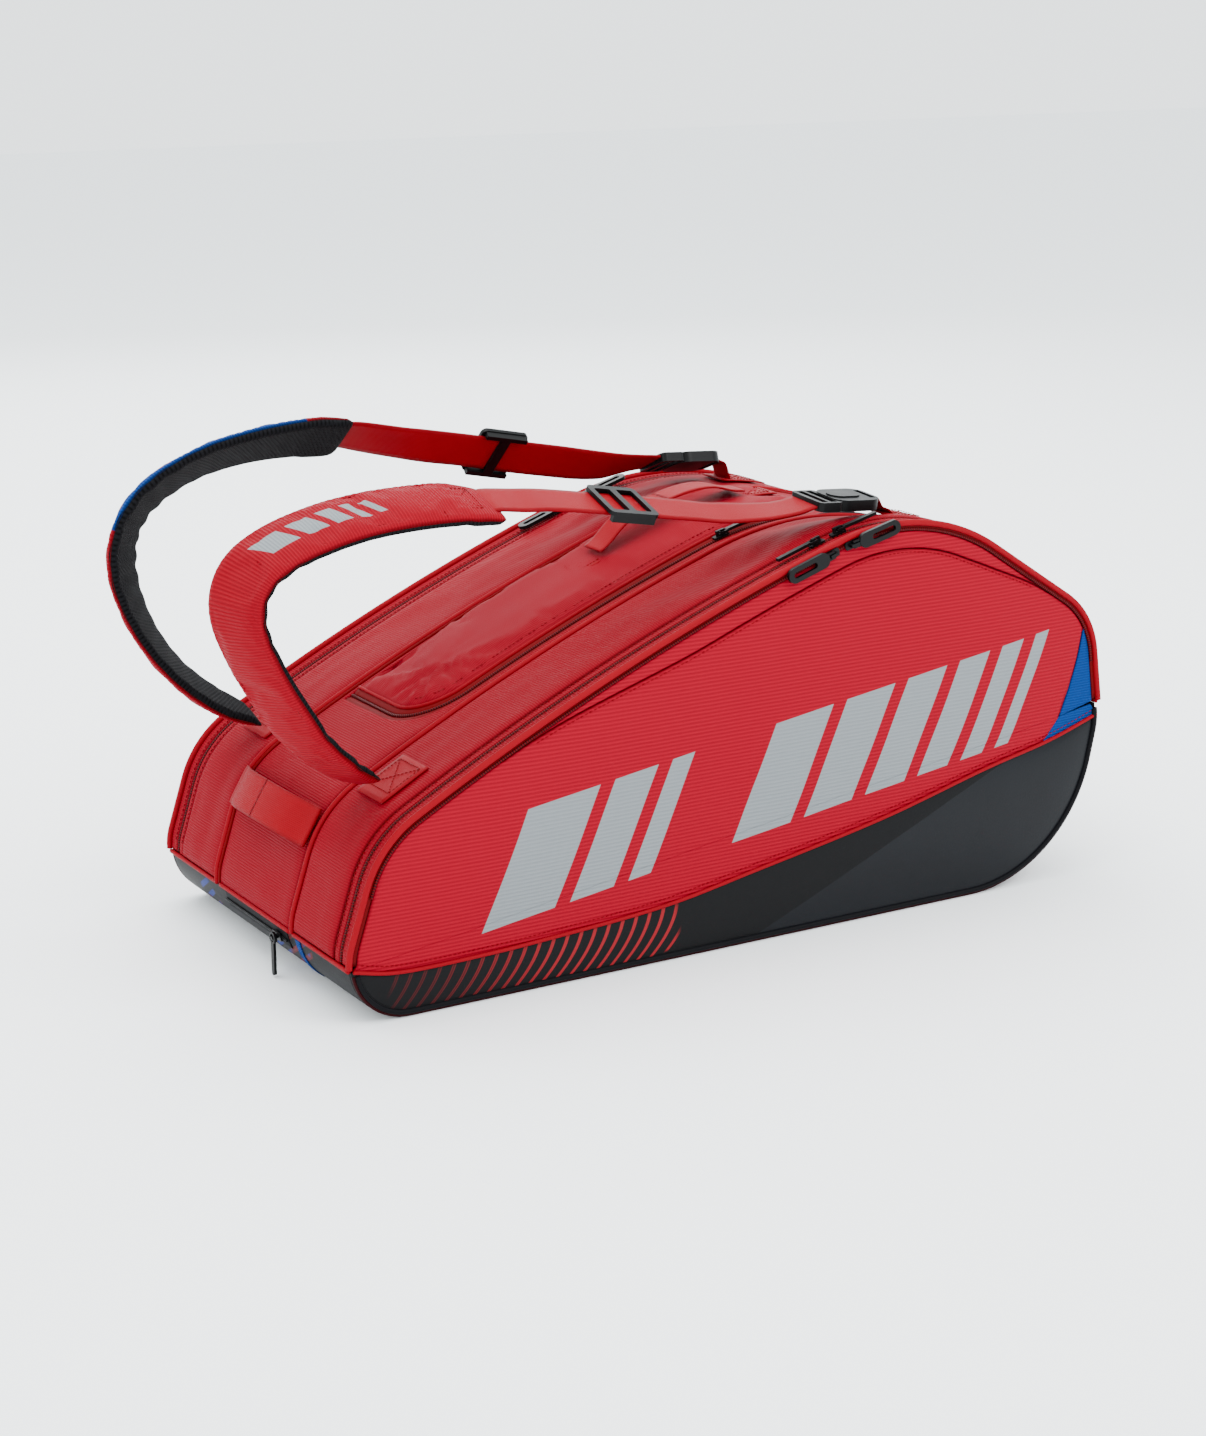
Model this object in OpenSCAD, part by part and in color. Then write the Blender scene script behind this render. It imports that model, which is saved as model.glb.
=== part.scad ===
// Racket tournament bag: three long compartments side by side, wrapped in one slanted profile.
// +X runs from the handle end to the head end, -Y is the front, +Z is up.
// The origin is at the middle of the base's outer face.

/* [Bag] */
// Width across the two side panels
bag_w = 356; // [346:2:366]
// Width of the middle compartment between its two seams
mid_w = 146; // [140:1:150]
// Thickness of the padded fabric walls
wall = 3; // [2.5:0.1:3.2]
// Where the flat of the base starts at the handle end
base_x0 = -322; // [-330:1:-314]

/* [Profile] */
// Radius where the base turns up into the handle end
foot_r = 50; // [48:1:52]
// Straight part of the handle end
end_rise = 45; // [42:1:48]
// Radius of the shoulder above the handle end
shoulder_r = 92; // [90:1:94]
// Radius of the long slanted top
crown_r = 2240; // [2200:10:2280]
// Radius of the highest bend
nose_r = 190; // [186:1:194]
// Heading at which the softer middle and rear start their lower, wider bend
low_nose_heading = 19.5; // [19:0.1:20]
// Straight slope after the highest bend
nose_drop = 98; // [95:1:101]
// Radius of the upper corner at the head end
bumper_r = 75; // [72:1:78]
// Straight part of the head end
head_drop = 54; // [52:1:56]
// Radius where the head end starts to turn under
knuckle_r = 60; // [56:1:64]
// Straight part between that bend and the heel
knuckle_drop = 24; // [20:1:28]

/* [Compartments] */
// Distance of each main zip from its side panel
zip_in = 17; // [16:0.5:18]
// Gap between the front pocket's panel and the front wall
pocket_gap = 5.6; // [5.2:0.1:6]
// Length of the middle flap, seen from above
flap_len = 392; // [386:1:396]

/* [Straps] */
// Width of each shoulder pad
pad_w = 62; // [60:1:66]
// Thickness of each shoulder pad with its mesh
pad_t = 12; // [11:0.5:13]
// Width of the webbing
web_w = 38; // [36:1:38]
// Thickness of the webbing
web_t = 2; // [1.8:0.1:2.2]

/* [Hidden] */
$fn = 48;

red = "#d8202f";
black = "#191919";
blue = "#1a5fb4";

half_w = bag_w / 2;
mid_y = mid_w / 2;
gusset_y = half_w - zip_in - 11;
coil_y = half_w - zip_in;
gap = 0.5;
binding_in = 5;
board_t = 2.5;

// ---- Side profile: a chain of arcs [radius, turn] and straights [0, length], walked clockwise.
end_heading = 72;
crown_heading = 29;
nose_heading = 18;
slope_heading = -33;
head_heading = -82;
knuckle_heading = -102;
function walk(p, seg, t) = seg[0] == 0
    ? [p[0] + t * cos(p[2]), p[1] + t * sin(p[2]), p[2]]
    : [p[0] + seg[0] * (sin(p[2]) - sin(p[2] - t)), p[1] - seg[0] * (cos(p[2]) - cos(p[2] - t)), p[2] - t];
function chain_start(chain, k) = k == 0
    ? [base_x0, 0, 180]
    : walk(chain_start(chain, k - 1), chain[k - 1], chain[k - 1][1]);
FOOT = [[foot_r, 180 - end_heading], [0, end_rise], [shoulder_r, end_heading - crown_heading]];
TOP = [
    [crown_r, crown_heading - nose_heading], [nose_r, nose_heading - slope_heading], [0, nose_drop]
];
HEAD = [
    [bumper_r, slope_heading - head_heading], [0, head_drop],
    [knuckle_r, head_heading - knuckle_heading], [0, knuckle_drop]
];
// The lower bend of the middle and rear meets the same slope, so its radius follows
slope_end = chain_start(concat(FOOT, TOP), 6);
low_crown = [crown_r, crown_heading - low_nose_heading];
low_start = chain_start(concat(FOOT, [low_crown]), 4);
slope_dir = [cos(slope_heading), sin(slope_heading)];
slope_normal = [-slope_dir[1], slope_dir[0]];
low_to_slope = [slope_end[0] - low_start[0], slope_end[1] - low_start[1]];
low_nose_r = low_to_slope * slope_normal / (1 - cos(low_nose_heading - slope_heading));
low_nose = [low_nose_r, low_nose_heading - slope_heading];
low_nose_end = walk(low_start, low_nose, low_nose[1]);
low_drop = [slope_end[0] - low_nose_end[0], slope_end[1] - low_nose_end[1]] * slope_dir;
LOW_TOP = [low_crown, low_nose, [0, low_drop]];
function closed(top) = let(
        open = concat(FOOT, top, HEAD),
        foot = chain_start(open, len(open)),
        heel = [foot[1] / (1 + cos(knuckle_heading)), knuckle_heading + 180])
    concat(open, [heel, [0, walk(foot, heel, heel[1])[0] - base_x0]]);
// The front's chain and the middle and rear's; $low picks one
CHAINS = [closed(TOP), closed(LOW_TOP)];
$low = 0;
base_len = CHAINS[0][len(CHAINS[0]) - 1][1];
function seg_len(seg) = seg[0] == 0 ? seg[1] : seg[0] * seg[1] * PI / 180;
function total(chain, k) = k == 0 ? 0 : total(chain, k - 1) + seg_len(chain[k - 1]);
STARTS = [for (chain = CHAINS) [for (k = [0:len(chain) - 1]) chain_start(chain, k)]];
LENGTHS = [for (chain = CHAINS) [for (k = [0:len(chain)]) total(chain, k)]];
function girth() = LENGTHS[$low][len(CHAINS[$low])];
// Point and heading at the length s along the outline, d inside it
function at(s, d = 0) = let(
        chain = CHAINS[$low],
        q = s >= girth() ? s - girth() : s,
        k = max([for (i = [0:len(chain) - 1]) if (LENGTHS[$low][i] <= q) i]),
        run = q - LENGTHS[$low][k],
        p = walk(STARTS[$low][k], chain[k], chain[k][0] == 0 ? run : run / chain[k][0] * 180 / PI))
    [p[0] + d * sin(p[2]), p[1] - d * cos(p[2]), p[2]];
// Arcs are drawn in steps of about 6 degrees, the long crown in steps of 1
function steps(seg) = seg[0] == 0 ? 1 : ceil(seg[1] / (seg[0] > 1000 ? 1 : 6));
function marks() = [for (turn = [0, girth()], k = [0:len(CHAINS[$low]) - 1]) let(seg = CHAINS[$low][k])
    for (i = [0:steps(seg) - 1]) turn + LENGTHS[$low][k] + seg_len(seg) * i / steps(seg)];
function stations(s0, s1) = concat([s0], [for (s = marks()) if (s > s0 + 1 && s < s1 - 1) s], [s1]);
function line(s0, s1, d) = [for (s = stations(s0, s1)) let(p = at(s, d)) [p[0], p[1]]];
function reversed(v) = [for (i = [len(v) - 1:-1:0]) v[i]];
function strip(s0, s1, d0, d1) = concat(line(s0, s1, d0), reversed(line(s0, s1, d1)));

// ---- Places along the outline
wall_s0 = LENGTHS[0][1] - 20;
function wall_s1() = LENGTHS[$low][8] - 6;
// The two sliders of a zip meet where the crown ends
function left_slider_s() = LENGTHS[$low][4] - 11;
function right_slider_s() = LENGTHS[$low][4] + 11;
end_handle_s = 160;
end_zip_s = 64;

// ---- Hinge line of both side lids, and the sewn boundary of the dark lower panels
hinge_a = at(wall_s0);
hinge_b = at(wall_s1());
hinge_tilt = atan2(hinge_b[1] - hinge_a[1], hinge_b[0] - hinge_a[0]);
BOUNDARY = [
    [-380, 46], [-330, 38], [-260, 38], [-190, 41], [-90, 48],
    [0, 63], [130, 87], [240, 114], [310, 129], [380, 149]
];
CORNER = [[298, 116], [306, 127], [326, 150], [340, 175], [350, 200], [356, 224], [385, 224], [385, 116]];

// ---- Shoulder strap routes. Each row is a point of the pad's middle line.
FRONT_PAD = [
    [-321, -110, 175], [-343, -110, 188], [-371, -110, 214], [-394, -110, 248], [-412, -110, 281],
    [-423, -110, 310], [-423, -110, 334], [-412, -110, 353], [-390, -110, 367], [-360, -110, 377],
    [-325, -110, 384], [-288, -110, 387], [-250, -110, 387], [-225, -110, 384], [-204, -110, 380]
];
REAR_PAD = [
    [-321, 110, 175], [-354, 110, 194], [-384, 110, 220], [-408, 110, 252], [-424, 110, 287],
    [-430, 110, 320], [-424, 110, 349], [-403, 110, 374], [-366, 110, 394], [-322, 110, 405],
    [-272, 110, 409], [-228, 110, 406]
];
FRONT_WEB = [
    [-206, -110, 388], [-182, -110, 385], [-150, -110, 380], [-25, -110, 359],
    [5, -112, 354], [35, -116, 352], [60, -120, 354], [83, -122, 357]
];
REAR_WEB = [
    [-225, 110, 407], [-205, 110, 403], [-150, 110, 391], [-25, 110, 366],
    [5, 111, 360], [32, 112, 356], [56, 114, 355], [78, 116, 354]
];
strap_y = 110;
strap_foot_s = 208;
ear_x = 4.7;
ear_z = 8.5;
anchor_s = 715;
anchor_rise = 9.5;
rear_anchor_s = 706;
rear_anchor_rise = 20;
front_roll = 17;
rear_web_roll = -52;
REAR_ROLL = [-12, -15, -18, -24, -31, -37, -38, -36, -33, -32, -34, -40];
REAR_WEB_ROLL = [-40, -44, -52, -52, -52, -48, -42, -36];
front_buckle_roll = 4;
rear_buckle_roll = -22;
front_buckle_at = [85, -122, 357];
rear_buckle_at = [80, 116, 354];
buckle_fall = -4;
front_adjuster_at = (FRONT_WEB[2] + FRONT_WEB[3]) / 2;
rear_adjuster_at = (REAR_WEB[2] * 0.46 + REAR_WEB[3] * 0.54);
web_fall = atan2(FRONT_WEB[3][2] - FRONT_WEB[2][2], FRONT_WEB[3][0] - FRONT_WEB[2][0]);
rear_web_fall = atan2(REAR_WEB[3][2] - REAR_WEB[2][2], REAR_WEB[3][0] - REAR_WEB[2][0]);

// ---- Helpers
module slab(y0, y1) translate([0, y1, 0]) rotate([90, 0, 0]) linear_extrude(y1 - y0) children();
module band(s0, s1, d0, d1, y0, y1) slab(y0, y1) polygon(strip(s0, s1, d0, d1));
module middle() { $low = 1; children(); }
module rear() middle() mirror([0, 1, 0]) children();
module both() { children(); rear() children(); }
module outline(d) polygon(line(0, girth() - 1, d));
module above_hinge(lift) intersection() {
    children();
    translate([hinge_a[0], hinge_a[1]]) rotate(hinge_tilt) translate([-60, lift]) square([900, 400]);
}
module below_hinge() difference() {
    children();
    translate([hinge_a[0], hinge_a[1]]) rotate(hinge_tilt) translate([-60, 0]) square([900, 400]);
}
module under_boundary() polygon(concat(BOUNDARY, [[400, -20], [-400, -20]]));
// Puts children on the outline: their X along it, their Z outwards
module on(s, y = 0) { p = at(s); translate([p[0], y, p[1]]) rotate([0, -p[2], 0]) children(); }
module round_rect(l, w, r) {
    square([l - 2 * r, w], center = true);
    square([l, w - 2 * r], center = true);
    for (x = [-1, 1], y = [-1, 1]) translate([x * (l / 2 - r), y * (w / 2 - r)]) circle(r);
}
module stadium(l, w) {
    square([l - w, w], center = true);
    for (x = [-1, 1]) translate([x * (l - w) / 2, 0]) circle(d = w);
}
module plate(z0, z1) translate([0, 0, z0]) linear_extrude(z1 - z0) children();

// ---- Ribbons: a flat section swept along a route, rolled about it
function unit(v) = v / norm(v);
function tangent(r, i) = unit(r[min(i + 1, len(r) - 1)] - r[max(i - 1, 0)]);
function outward(r, i) = unit(cross(tangent(r, i), [0, 1, 0]));
function across(r, i, roll) =
    unit(cos(roll[i]) * cross(outward(r, i), tangent(r, i)) + sin(roll[i]) * outward(r, i));
function face_up(r, i, roll) = cross(tangent(r, i), across(r, i, roll));
// w, t and roll are lists, one value for each point; z0 and z1 are shares of t
module ribbon(r, w, t, z0, z1, roll) {
    n = len(r);
    points = [for (i = [0:n - 1], c = [[-1, z0], [1, z0], [1, z1], [-1, z1]])
        r[i] + across(r, i, roll) * c[0] * w[i] / 2 + face_up(r, i, roll) * c[1] * t[i]];
    last = 4 * (n - 1);
    sides = [for (i = [0:n - 2], c = [0:3], half = [0, 1]) let(a = 4 * i, b = a + 4, e = (c + 1) % 4)
        c == 2 ? (half == 0 ? [a + c, b + c, a + e] : [b + c, b + e, a + e])
            : (half == 0 ? [a + c, b + c, b + e] : [a + c, b + e, a + e])];
    ends = [[0, 1, 2], [0, 2, 3], [last, last + 2, last + 1], [last, last + 3, last + 2]];
    polyhedron(points, concat(sides, ends), convexity = 6);
}
function pad_width(n) = [for (i = [0:n - 1]) i == 0 ? 34 : i == 1 ? 50 : i == n - 1 ? 52 : pad_w];
function pad_thick(n) = [for (i = [0:n - 1]) i == 0 || i == n - 1 ? pad_t * 0.55 : pad_t];
function same(n, v) = [for (i = [0:n - 1]) v];

// ---- Shell
module base_panel() color(black) band(wall_s1() + gap, girth() + wall_s0 - gap, 0, wall, -half_w + wall, half_w - wall);
module base_board() color("#4a4038") translate([base_x0 + 20, -150, wall]) cube([base_len - 40, 300, board_t]);
module base_binding() color("#2a1214")
    both() band(wall_s1() + binding_in, girth() + wall_s0 - binding_in, 0.6, 4, -half_w - 2.5, -half_w);
module lower_panel() slab(-half_w, -half_w + wall) intersection() {
    outline(0);
    under_boundary();
    below_hinge() square([900, 800], center = true);
}
module front_lower_panel() color(black) lower_panel();
module rear_lower_panel() color(black) rear() lower_panel();
module side_strips() color(red) both() slab(-half_w, -half_w + wall) below_hinge() difference() {
    outline(0);
    under_boundary();
}
module gusset() band(wall_s0, wall_s1(), 0, wall, -gusset_y, -mid_y);
module front_gusset() color(red) gusset();
module rear_gusset() color(red) rear() gusset();

flap_x0 = -242;
flap_y0 = -50;
flap_y1 = 62;
frame_gap = 14;
// Outline of the flap seen from above, grown by g on its zipped sides
module flap_plan(g) {
    r = 42 + g;
    l = flap_len + 2 * g;
    translate([flap_x0 - g + r, flap_y0 - g]) square([l - 2 * r, 2 * r]);
    translate([flap_x0 - g, flap_y0 - g + r]) square([l, flap_y1 - flap_y0 + g - r]);
    for (x = [flap_x0 - g + r, flap_x0 - g + l - r]) translate([x, flap_y0 - g + r]) circle(r);
}
module flap_prism(g) translate([0, 0, 100]) linear_extrude(300) flap_plan(g);
module middle_panel() color(red) middle() difference() {
    band(wall_s0, wall_s1(), 0, wall, -mid_y, mid_y);
    flap_prism(frame_gap);
}
module end_zip_tape() color(black) band(end_zip_s - 7, end_zip_s + 7, -1.3, -0.3, -62, 62);
// Each divider stands on the base board
module divider() slab(-mid_y - 2, -mid_y) outline(wall + board_t + gap);
module front_divider() color("#3b3b40") divider();
module rear_divider() color("#3b3b40") rear() divider();
module middle_piping() color(red) both() band(wall_s0, wall_s1(), -3.8, -0.3, -mid_y - 3, -mid_y + 3);
module zip_tapes() color(red) both() band(wall_s0, wall_s1(), 0.4, 2.4, -coil_y + gap, -gusset_y);
module flap_frame_tape() color(red) middle() intersection() {
    band(wall_s0, wall_s1(), 0.2, 2.2, -mid_y, flap_y1);
    difference() {
        flap_prism(frame_gap);
        flap_prism(7.5);
    }
}
// Stitched patch with the short ear that the pad turns about
module strap_patch() on(strap_foot_s, -strap_y) {
    plate(0, 2) translate([18, 0]) round_rect(50, 46, 3);
    translate([ear_x, 0, ear_z / 2]) cube([6, 10, ear_z], center = true);
    translate([ear_x, 0, ear_z]) rotate([90, 0, 0]) cylinder(r = 5, h = 10, center = true);
}
module strap_patches() color(red) both() strap_patch();
// Stitched patch with the end of the webbing loop that holds a buckle
module buckle_anchor(s, y, rise) on(s, y) {
    plate(0, 2) translate([22, 0]) round_rect(46, 40, 3);
    translate([0, 0, rise / 2]) cube([5, 16, rise], center = true);
    translate([0, 0, rise]) rotate([90, 0, 0]) cylinder(r = 3.5, h = 16, center = true);
}
module buckle_anchors() color(red) {
    buckle_anchor(anchor_s, front_buckle_at[1], anchor_rise);
    middle() buckle_anchor(rear_anchor_s, rear_buckle_at[1], rear_anchor_rise);
}
module end_handle_tabs() color(red) for (y = [-64, 64]) on(end_handle_s, y) intersection() {
    translate([0, 0, 2]) rotate([90, 0, 0]) cylinder(r = 8, h = 4, center = true);
    translate([-10, -5, 0.5]) cube([20, 10, 12]);
}

// ---- Side lids
module lid_wall(y0, y1, d) slab(y0, y1) above_hinge(gap) outline(d);
module lid_edge() {
    slab(-half_w, -coil_y) above_hinge(gap) polygon(strip(wall_s0, wall_s1(), 0.4, 2.4));
    slab(-half_w, -half_w + 2) above_hinge(gap) polygon(strip(wall_s0, wall_s1(), 0.4, 5));
}
module lid_piping() slab(-half_w - 2.5, -half_w + 2.5) above_hinge(gap) polygon(strip(wall_s0, wall_s1(), -3, 0.4));
module front_lid_wall() color("#3b3b40") lid_wall(-half_w + 2 + pocket_gap, -half_w + 4 + pocket_gap, 3);
module front_lid_edge() color(red) lid_edge();
module front_lid_piping() color(red) lid_piping();
module rear_lid_panel() color(red) rear() lid_wall(-half_w, -half_w + 2, 5);
module rear_lid_edge() color(red) rear() lid_edge();
module rear_lid_piping() color(red) rear() lid_piping();
module corner_shape() intersection() {
    above_hinge(gap) outline(5.5);
    polygon(CORNER);
}
module front_pocket_panel() color(red) slab(-half_w, -half_w + 2) difference() {
    above_hinge(gap) outline(5.5);
    polygon(CORNER);
}
module corner_panel() color(blue) slab(-half_w, -half_w + 2) corner_shape();

// ---- Zip sliders and pulls, drawn with X along the zip and Z outwards
eye_z = 5;
eye_r = 1;
module slider() {
    plate(1.3, 2.8) round_rect(15, 7, 2);
    difference() {
        plate(2.8, 7.6) square([8, 2.6], center = true);
        translate([0, 0, eye_z]) cube([3.6, 4, 3.6], center = true);
    }
}
module pull_eye() {
    translate([0, 0, eye_z]) rotate([90, 0, 0]) cylinder(r = eye_r, h = 6.4, center = true);
    for (y = [-1, 1]) translate([3, y * 2.5, eye_z]) cube([8, 1.4, 2], center = true);
}
module bar_pull() {
    pull_eye();
    translate([23, 0, eye_z]) cube([34, 4.4, 2.6], center = true);
}
module loop_pull() {
    pull_eye();
    plate(eye_z - 1.6, eye_z + 1.6) translate([26, 0]) difference() {
        stadium(42, 13);
        translate([4, 0]) stadium(24, 5);
    }
}
// On the top zips; side is -1 in front and 1 behind
module on_top_zip(side, s) on(s, side * coil_y) children();
// On the front pocket's zip, which faces forward
module on_pocket_zip(s) {
    p = at(s, 4.4);
    translate([p[0], -half_w, p[1]]) rotate([0, -p[2], 0]) rotate([90, 0, 0]) children();
}
module turned() rotate([0, 0, 180]) children();
module front_slider_left() color(black) on_top_zip(-1, left_slider_s()) slider();
module front_pull_left() color(black) on_top_zip(-1, left_slider_s()) turned() bar_pull();
module front_slider_right() color(black) on_top_zip(-1, right_slider_s()) slider();
module front_pull_right() color(black) on_top_zip(-1, right_slider_s()) bar_pull();
module pocket_slider_left() color(black) on_pocket_zip(left_slider_s()) slider();
module pocket_pull_left() color(black) on_pocket_zip(left_slider_s()) turned() loop_pull();
module pocket_slider_right() color(black) on_pocket_zip(right_slider_s()) slider();
module pocket_pull_right() color(black) on_pocket_zip(right_slider_s()) loop_pull();
module rear_slider_left() color(black) middle() on_top_zip(1, left_slider_s()) slider();
module rear_pull_left() color(black) middle() on_top_zip(1, left_slider_s()) turned() loop_pull();
module rear_slider_right() color(black) middle() on_top_zip(1, right_slider_s()) slider();
module rear_pull_right() color(black) middle() on_top_zip(1, right_slider_s()) loop_pull();

// ---- Middle flap with the top handle
flap_slider_s = 600;
flap_slider_y = -56;
module flap_panel() color(red) middle() {
    intersection() {
        band(wall_s0, wall_s1(), -6, -3, flap_y0, flap_y1);
        flap_prism(0);
    }
    intersection() {
        band(wall_s0, wall_s1(), -3, 2.2, flap_y0, flap_y1 - 6);
        difference() { flap_prism(0); flap_prism(-2); }
    }
}
module flap_tape() color(red) middle() intersection() {
    band(wall_s0, wall_s1(), 0.2, 2.2, -mid_y, flap_y1 - 6);
    difference() { flap_prism(6.5); flap_prism(0); }
}
module flap_slider() color(black) middle() on(flap_slider_s, flap_slider_y) slider();
module flap_pull() color(black) middle() on(flap_slider_s, flap_slider_y) bar_pull();
handle_s = 590;
handle_y = 15;
handle_tilt = 3;
handle_w = 28;
handle_half = 74;
handle_low = 9;
// A soft carry loop between two stitched ends: half its span, its height at the ends and in the middle
module carry_loop(half, low, high, t) polygon(concat(
    [[-half, low], [-half * 0.72, low + (high - low) * 0.45], [-half * 0.4, high], [half * 0.4, high],
        [half * 0.72, low + (high - low) * 0.45], [half, low]],
    [[half, low + t], [half * 0.68, low + (high - low) * 0.45 + t], [half * 0.38, high + t],
        [-half * 0.38, high + t], [-half * 0.68, low + (high - low) * 0.45 + t], [-half, low + t]]
));
module on_flap() middle() on(handle_s, handle_y) rotate([0, handle_tilt, 0]) children();
module top_handle() color(red) on_flap() translate([0, handle_w / 2, 0]) rotate([90, 0, 0])
    linear_extrude(handle_w) carry_loop(handle_half, handle_low, 27, 2.4);
// Stitched patches on the flap, each with the short tab that holds an end of the handle
module handle_patches() color(red) {
    middle() for (s = [handle_s - 98, handle_s + 82])
        band(s, s + 16, -7.6, -6, handle_y - handle_w / 2, handle_y + handle_w / 2);
    for (side = [-1, 1]) on_flap() translate([side * (handle_half + 4), 0, handle_low / 2 + 1.2])
        cube([7, 12, handle_low + 2.4], center = true);
}

// ---- End handle and end pocket zip
module end_handle() color(red) on(end_handle_s) rotate([90, 0, 90]) translate([0, 0, -17])
    linear_extrude(34) carry_loop(67, 12, 22, 3.5);
end_slider_y = -44;
module on_end_zip() on(end_zip_s, end_slider_y) translate([0, 0, 1]) rotate([0, 0, 90]) children();
module end_slider() color(black) on_end_zip() {
    plate(1, 2.4) round_rect(14, 8, 2);
    plate(2.4, 7.5) circle(r = 2);
}
module end_pull() color(black) {
    p = at(end_zip_s);
    translate([p[0] - 6.5, end_slider_y, p[1] - 1.9]) rotate([0, -90, 0]) plate(-1.2, 1.2) difference() {
        union() {
            circle(r = 5);
            translate([-17, 0]) stadium(30, 5);
        }
        circle(r = 3.4);
    }
}

// ---- Shoulder straps
button_l = 30;
button_w = 20;
button_z = 3;
press = 2.2;
module pad(r, roll) ribbon(r, pad_width(len(r)), pad_thick(len(r)), 0.02, 0.5, roll);
module pad_mesh(r, roll) ribbon(r, pad_width(len(r)), pad_thick(len(r)), -0.5, -0.02, roll);
module webbing(r, roll) ribbon(r, same(len(r), web_w), same(len(r), web_t), -0.5, 0.5, roll);
module along(p, fall, roll) translate(p) rotate([0, -fall, 0]) rotate([roll, 0, 0]) children();
module adjuster() {
    plate(1.6, 5) difference() {
        round_rect(46, 50, 5);
        for (x = [-1, 1]) translate([x * 10.5, 0]) round_rect(15, 38, 2);
    }
    for (y = [-1, 1]) translate([0, y * 22, 0]) cube([40, 4.4, 9], center = true);
    plate(-4.5, -1.7) square([9, 44], center = true);
}
module buckle() difference() {
    union() {
        plate(-4, 4) translate([12, 0]) round_rect(24, 46, 5);
        plate(-4.8, 4.8) translate([43, 0]) round_rect(46, 42, 12);
    }
    plate(-8, 8) translate([7, 0]) square([6, web_w + 1], center = true);
    plate(-8, 8) translate([16, 0]) square([6, web_w + 1], center = true);
    plate(-8, 8) translate([60.5, 0]) square([5, 26], center = true);
    plate(button_z - press - gap, 8) translate([38, 0]) stadium(button_l + 0.8, button_w + 0.8);
}
module button() plate(button_z, button_z + 3) translate([38, 0]) stadium(button_l, button_w);
module front_pad() color(red) pad(FRONT_PAD, same(len(FRONT_PAD), front_roll));
module front_pad_mesh() color(black) pad_mesh(FRONT_PAD, same(len(FRONT_PAD), front_roll));
module front_webbing() color(red) webbing(FRONT_WEB, same(len(FRONT_WEB), front_roll));
module front_adjuster() color(black) along(front_adjuster_at, web_fall, front_roll) adjuster();
module front_buckle() color(black) along(front_buckle_at, buckle_fall, front_buckle_roll) buckle();
module front_button() color(black) along(front_buckle_at, buckle_fall, front_buckle_roll) button();
module rear_pad() color(red) pad(REAR_PAD, REAR_ROLL);
module rear_pad_mesh() color(black) pad_mesh(REAR_PAD, REAR_ROLL);
module rear_webbing() color(red) webbing(REAR_WEB, REAR_WEB_ROLL);
module rear_adjuster() color(black) along(rear_adjuster_at, rear_web_fall, rear_web_roll) adjuster();
module rear_buckle() color(black) along(rear_buckle_at, buckle_fall, rear_buckle_roll) buckle();
module rear_button() color(black) along(rear_buckle_at, buckle_fall, rear_buckle_roll) button();

base_panel();
base_board();
base_binding();
front_lower_panel();
rear_lower_panel();
side_strips();
front_gusset();
rear_gusset();
middle_panel();
end_zip_tape();
front_divider();
rear_divider();
middle_piping();
zip_tapes();
flap_frame_tape();
strap_patches();
buckle_anchors();
end_handle_tabs();
front_lid_wall();
front_lid_edge();
front_lid_piping();
front_pocket_panel();
corner_panel();
rear_lid_panel();
rear_lid_edge();
rear_lid_piping();
front_slider_left();
front_pull_left();
front_slider_right();
front_pull_right();
pocket_slider_left();
pocket_pull_left();
pocket_slider_right();
pocket_pull_right();
rear_slider_left();
rear_pull_left();
rear_slider_right();
rear_pull_right();
flap_panel();
flap_tape();
handle_patches();
flap_slider();
flap_pull();
top_handle();
end_handle();
end_slider();
end_pull();
front_pad();
front_pad_mesh();
front_webbing();
front_adjuster();
front_buckle();
front_button();
rear_pad();
rear_pad_mesh();
rear_webbing();
rear_adjuster();
rear_buckle();
rear_button();
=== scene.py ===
import math
import random

import bmesh
import bpy
import numpy as np
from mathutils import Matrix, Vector, noise


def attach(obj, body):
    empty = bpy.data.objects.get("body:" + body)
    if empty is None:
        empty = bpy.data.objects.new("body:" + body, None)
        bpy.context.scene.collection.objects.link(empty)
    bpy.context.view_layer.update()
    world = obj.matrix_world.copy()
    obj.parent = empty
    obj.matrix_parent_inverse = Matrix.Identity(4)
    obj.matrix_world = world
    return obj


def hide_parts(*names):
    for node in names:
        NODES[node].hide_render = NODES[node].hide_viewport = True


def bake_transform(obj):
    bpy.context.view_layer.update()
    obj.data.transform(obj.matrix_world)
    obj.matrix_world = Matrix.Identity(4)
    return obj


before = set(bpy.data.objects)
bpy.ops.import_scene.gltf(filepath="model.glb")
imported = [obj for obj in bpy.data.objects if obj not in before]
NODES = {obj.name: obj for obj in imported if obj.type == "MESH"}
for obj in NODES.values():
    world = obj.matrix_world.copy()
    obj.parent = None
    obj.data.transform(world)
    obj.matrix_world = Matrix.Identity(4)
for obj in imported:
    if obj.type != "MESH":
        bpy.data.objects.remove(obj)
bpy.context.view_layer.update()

random.seed(11)
MM = 0.001
HALF = 178.0

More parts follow.
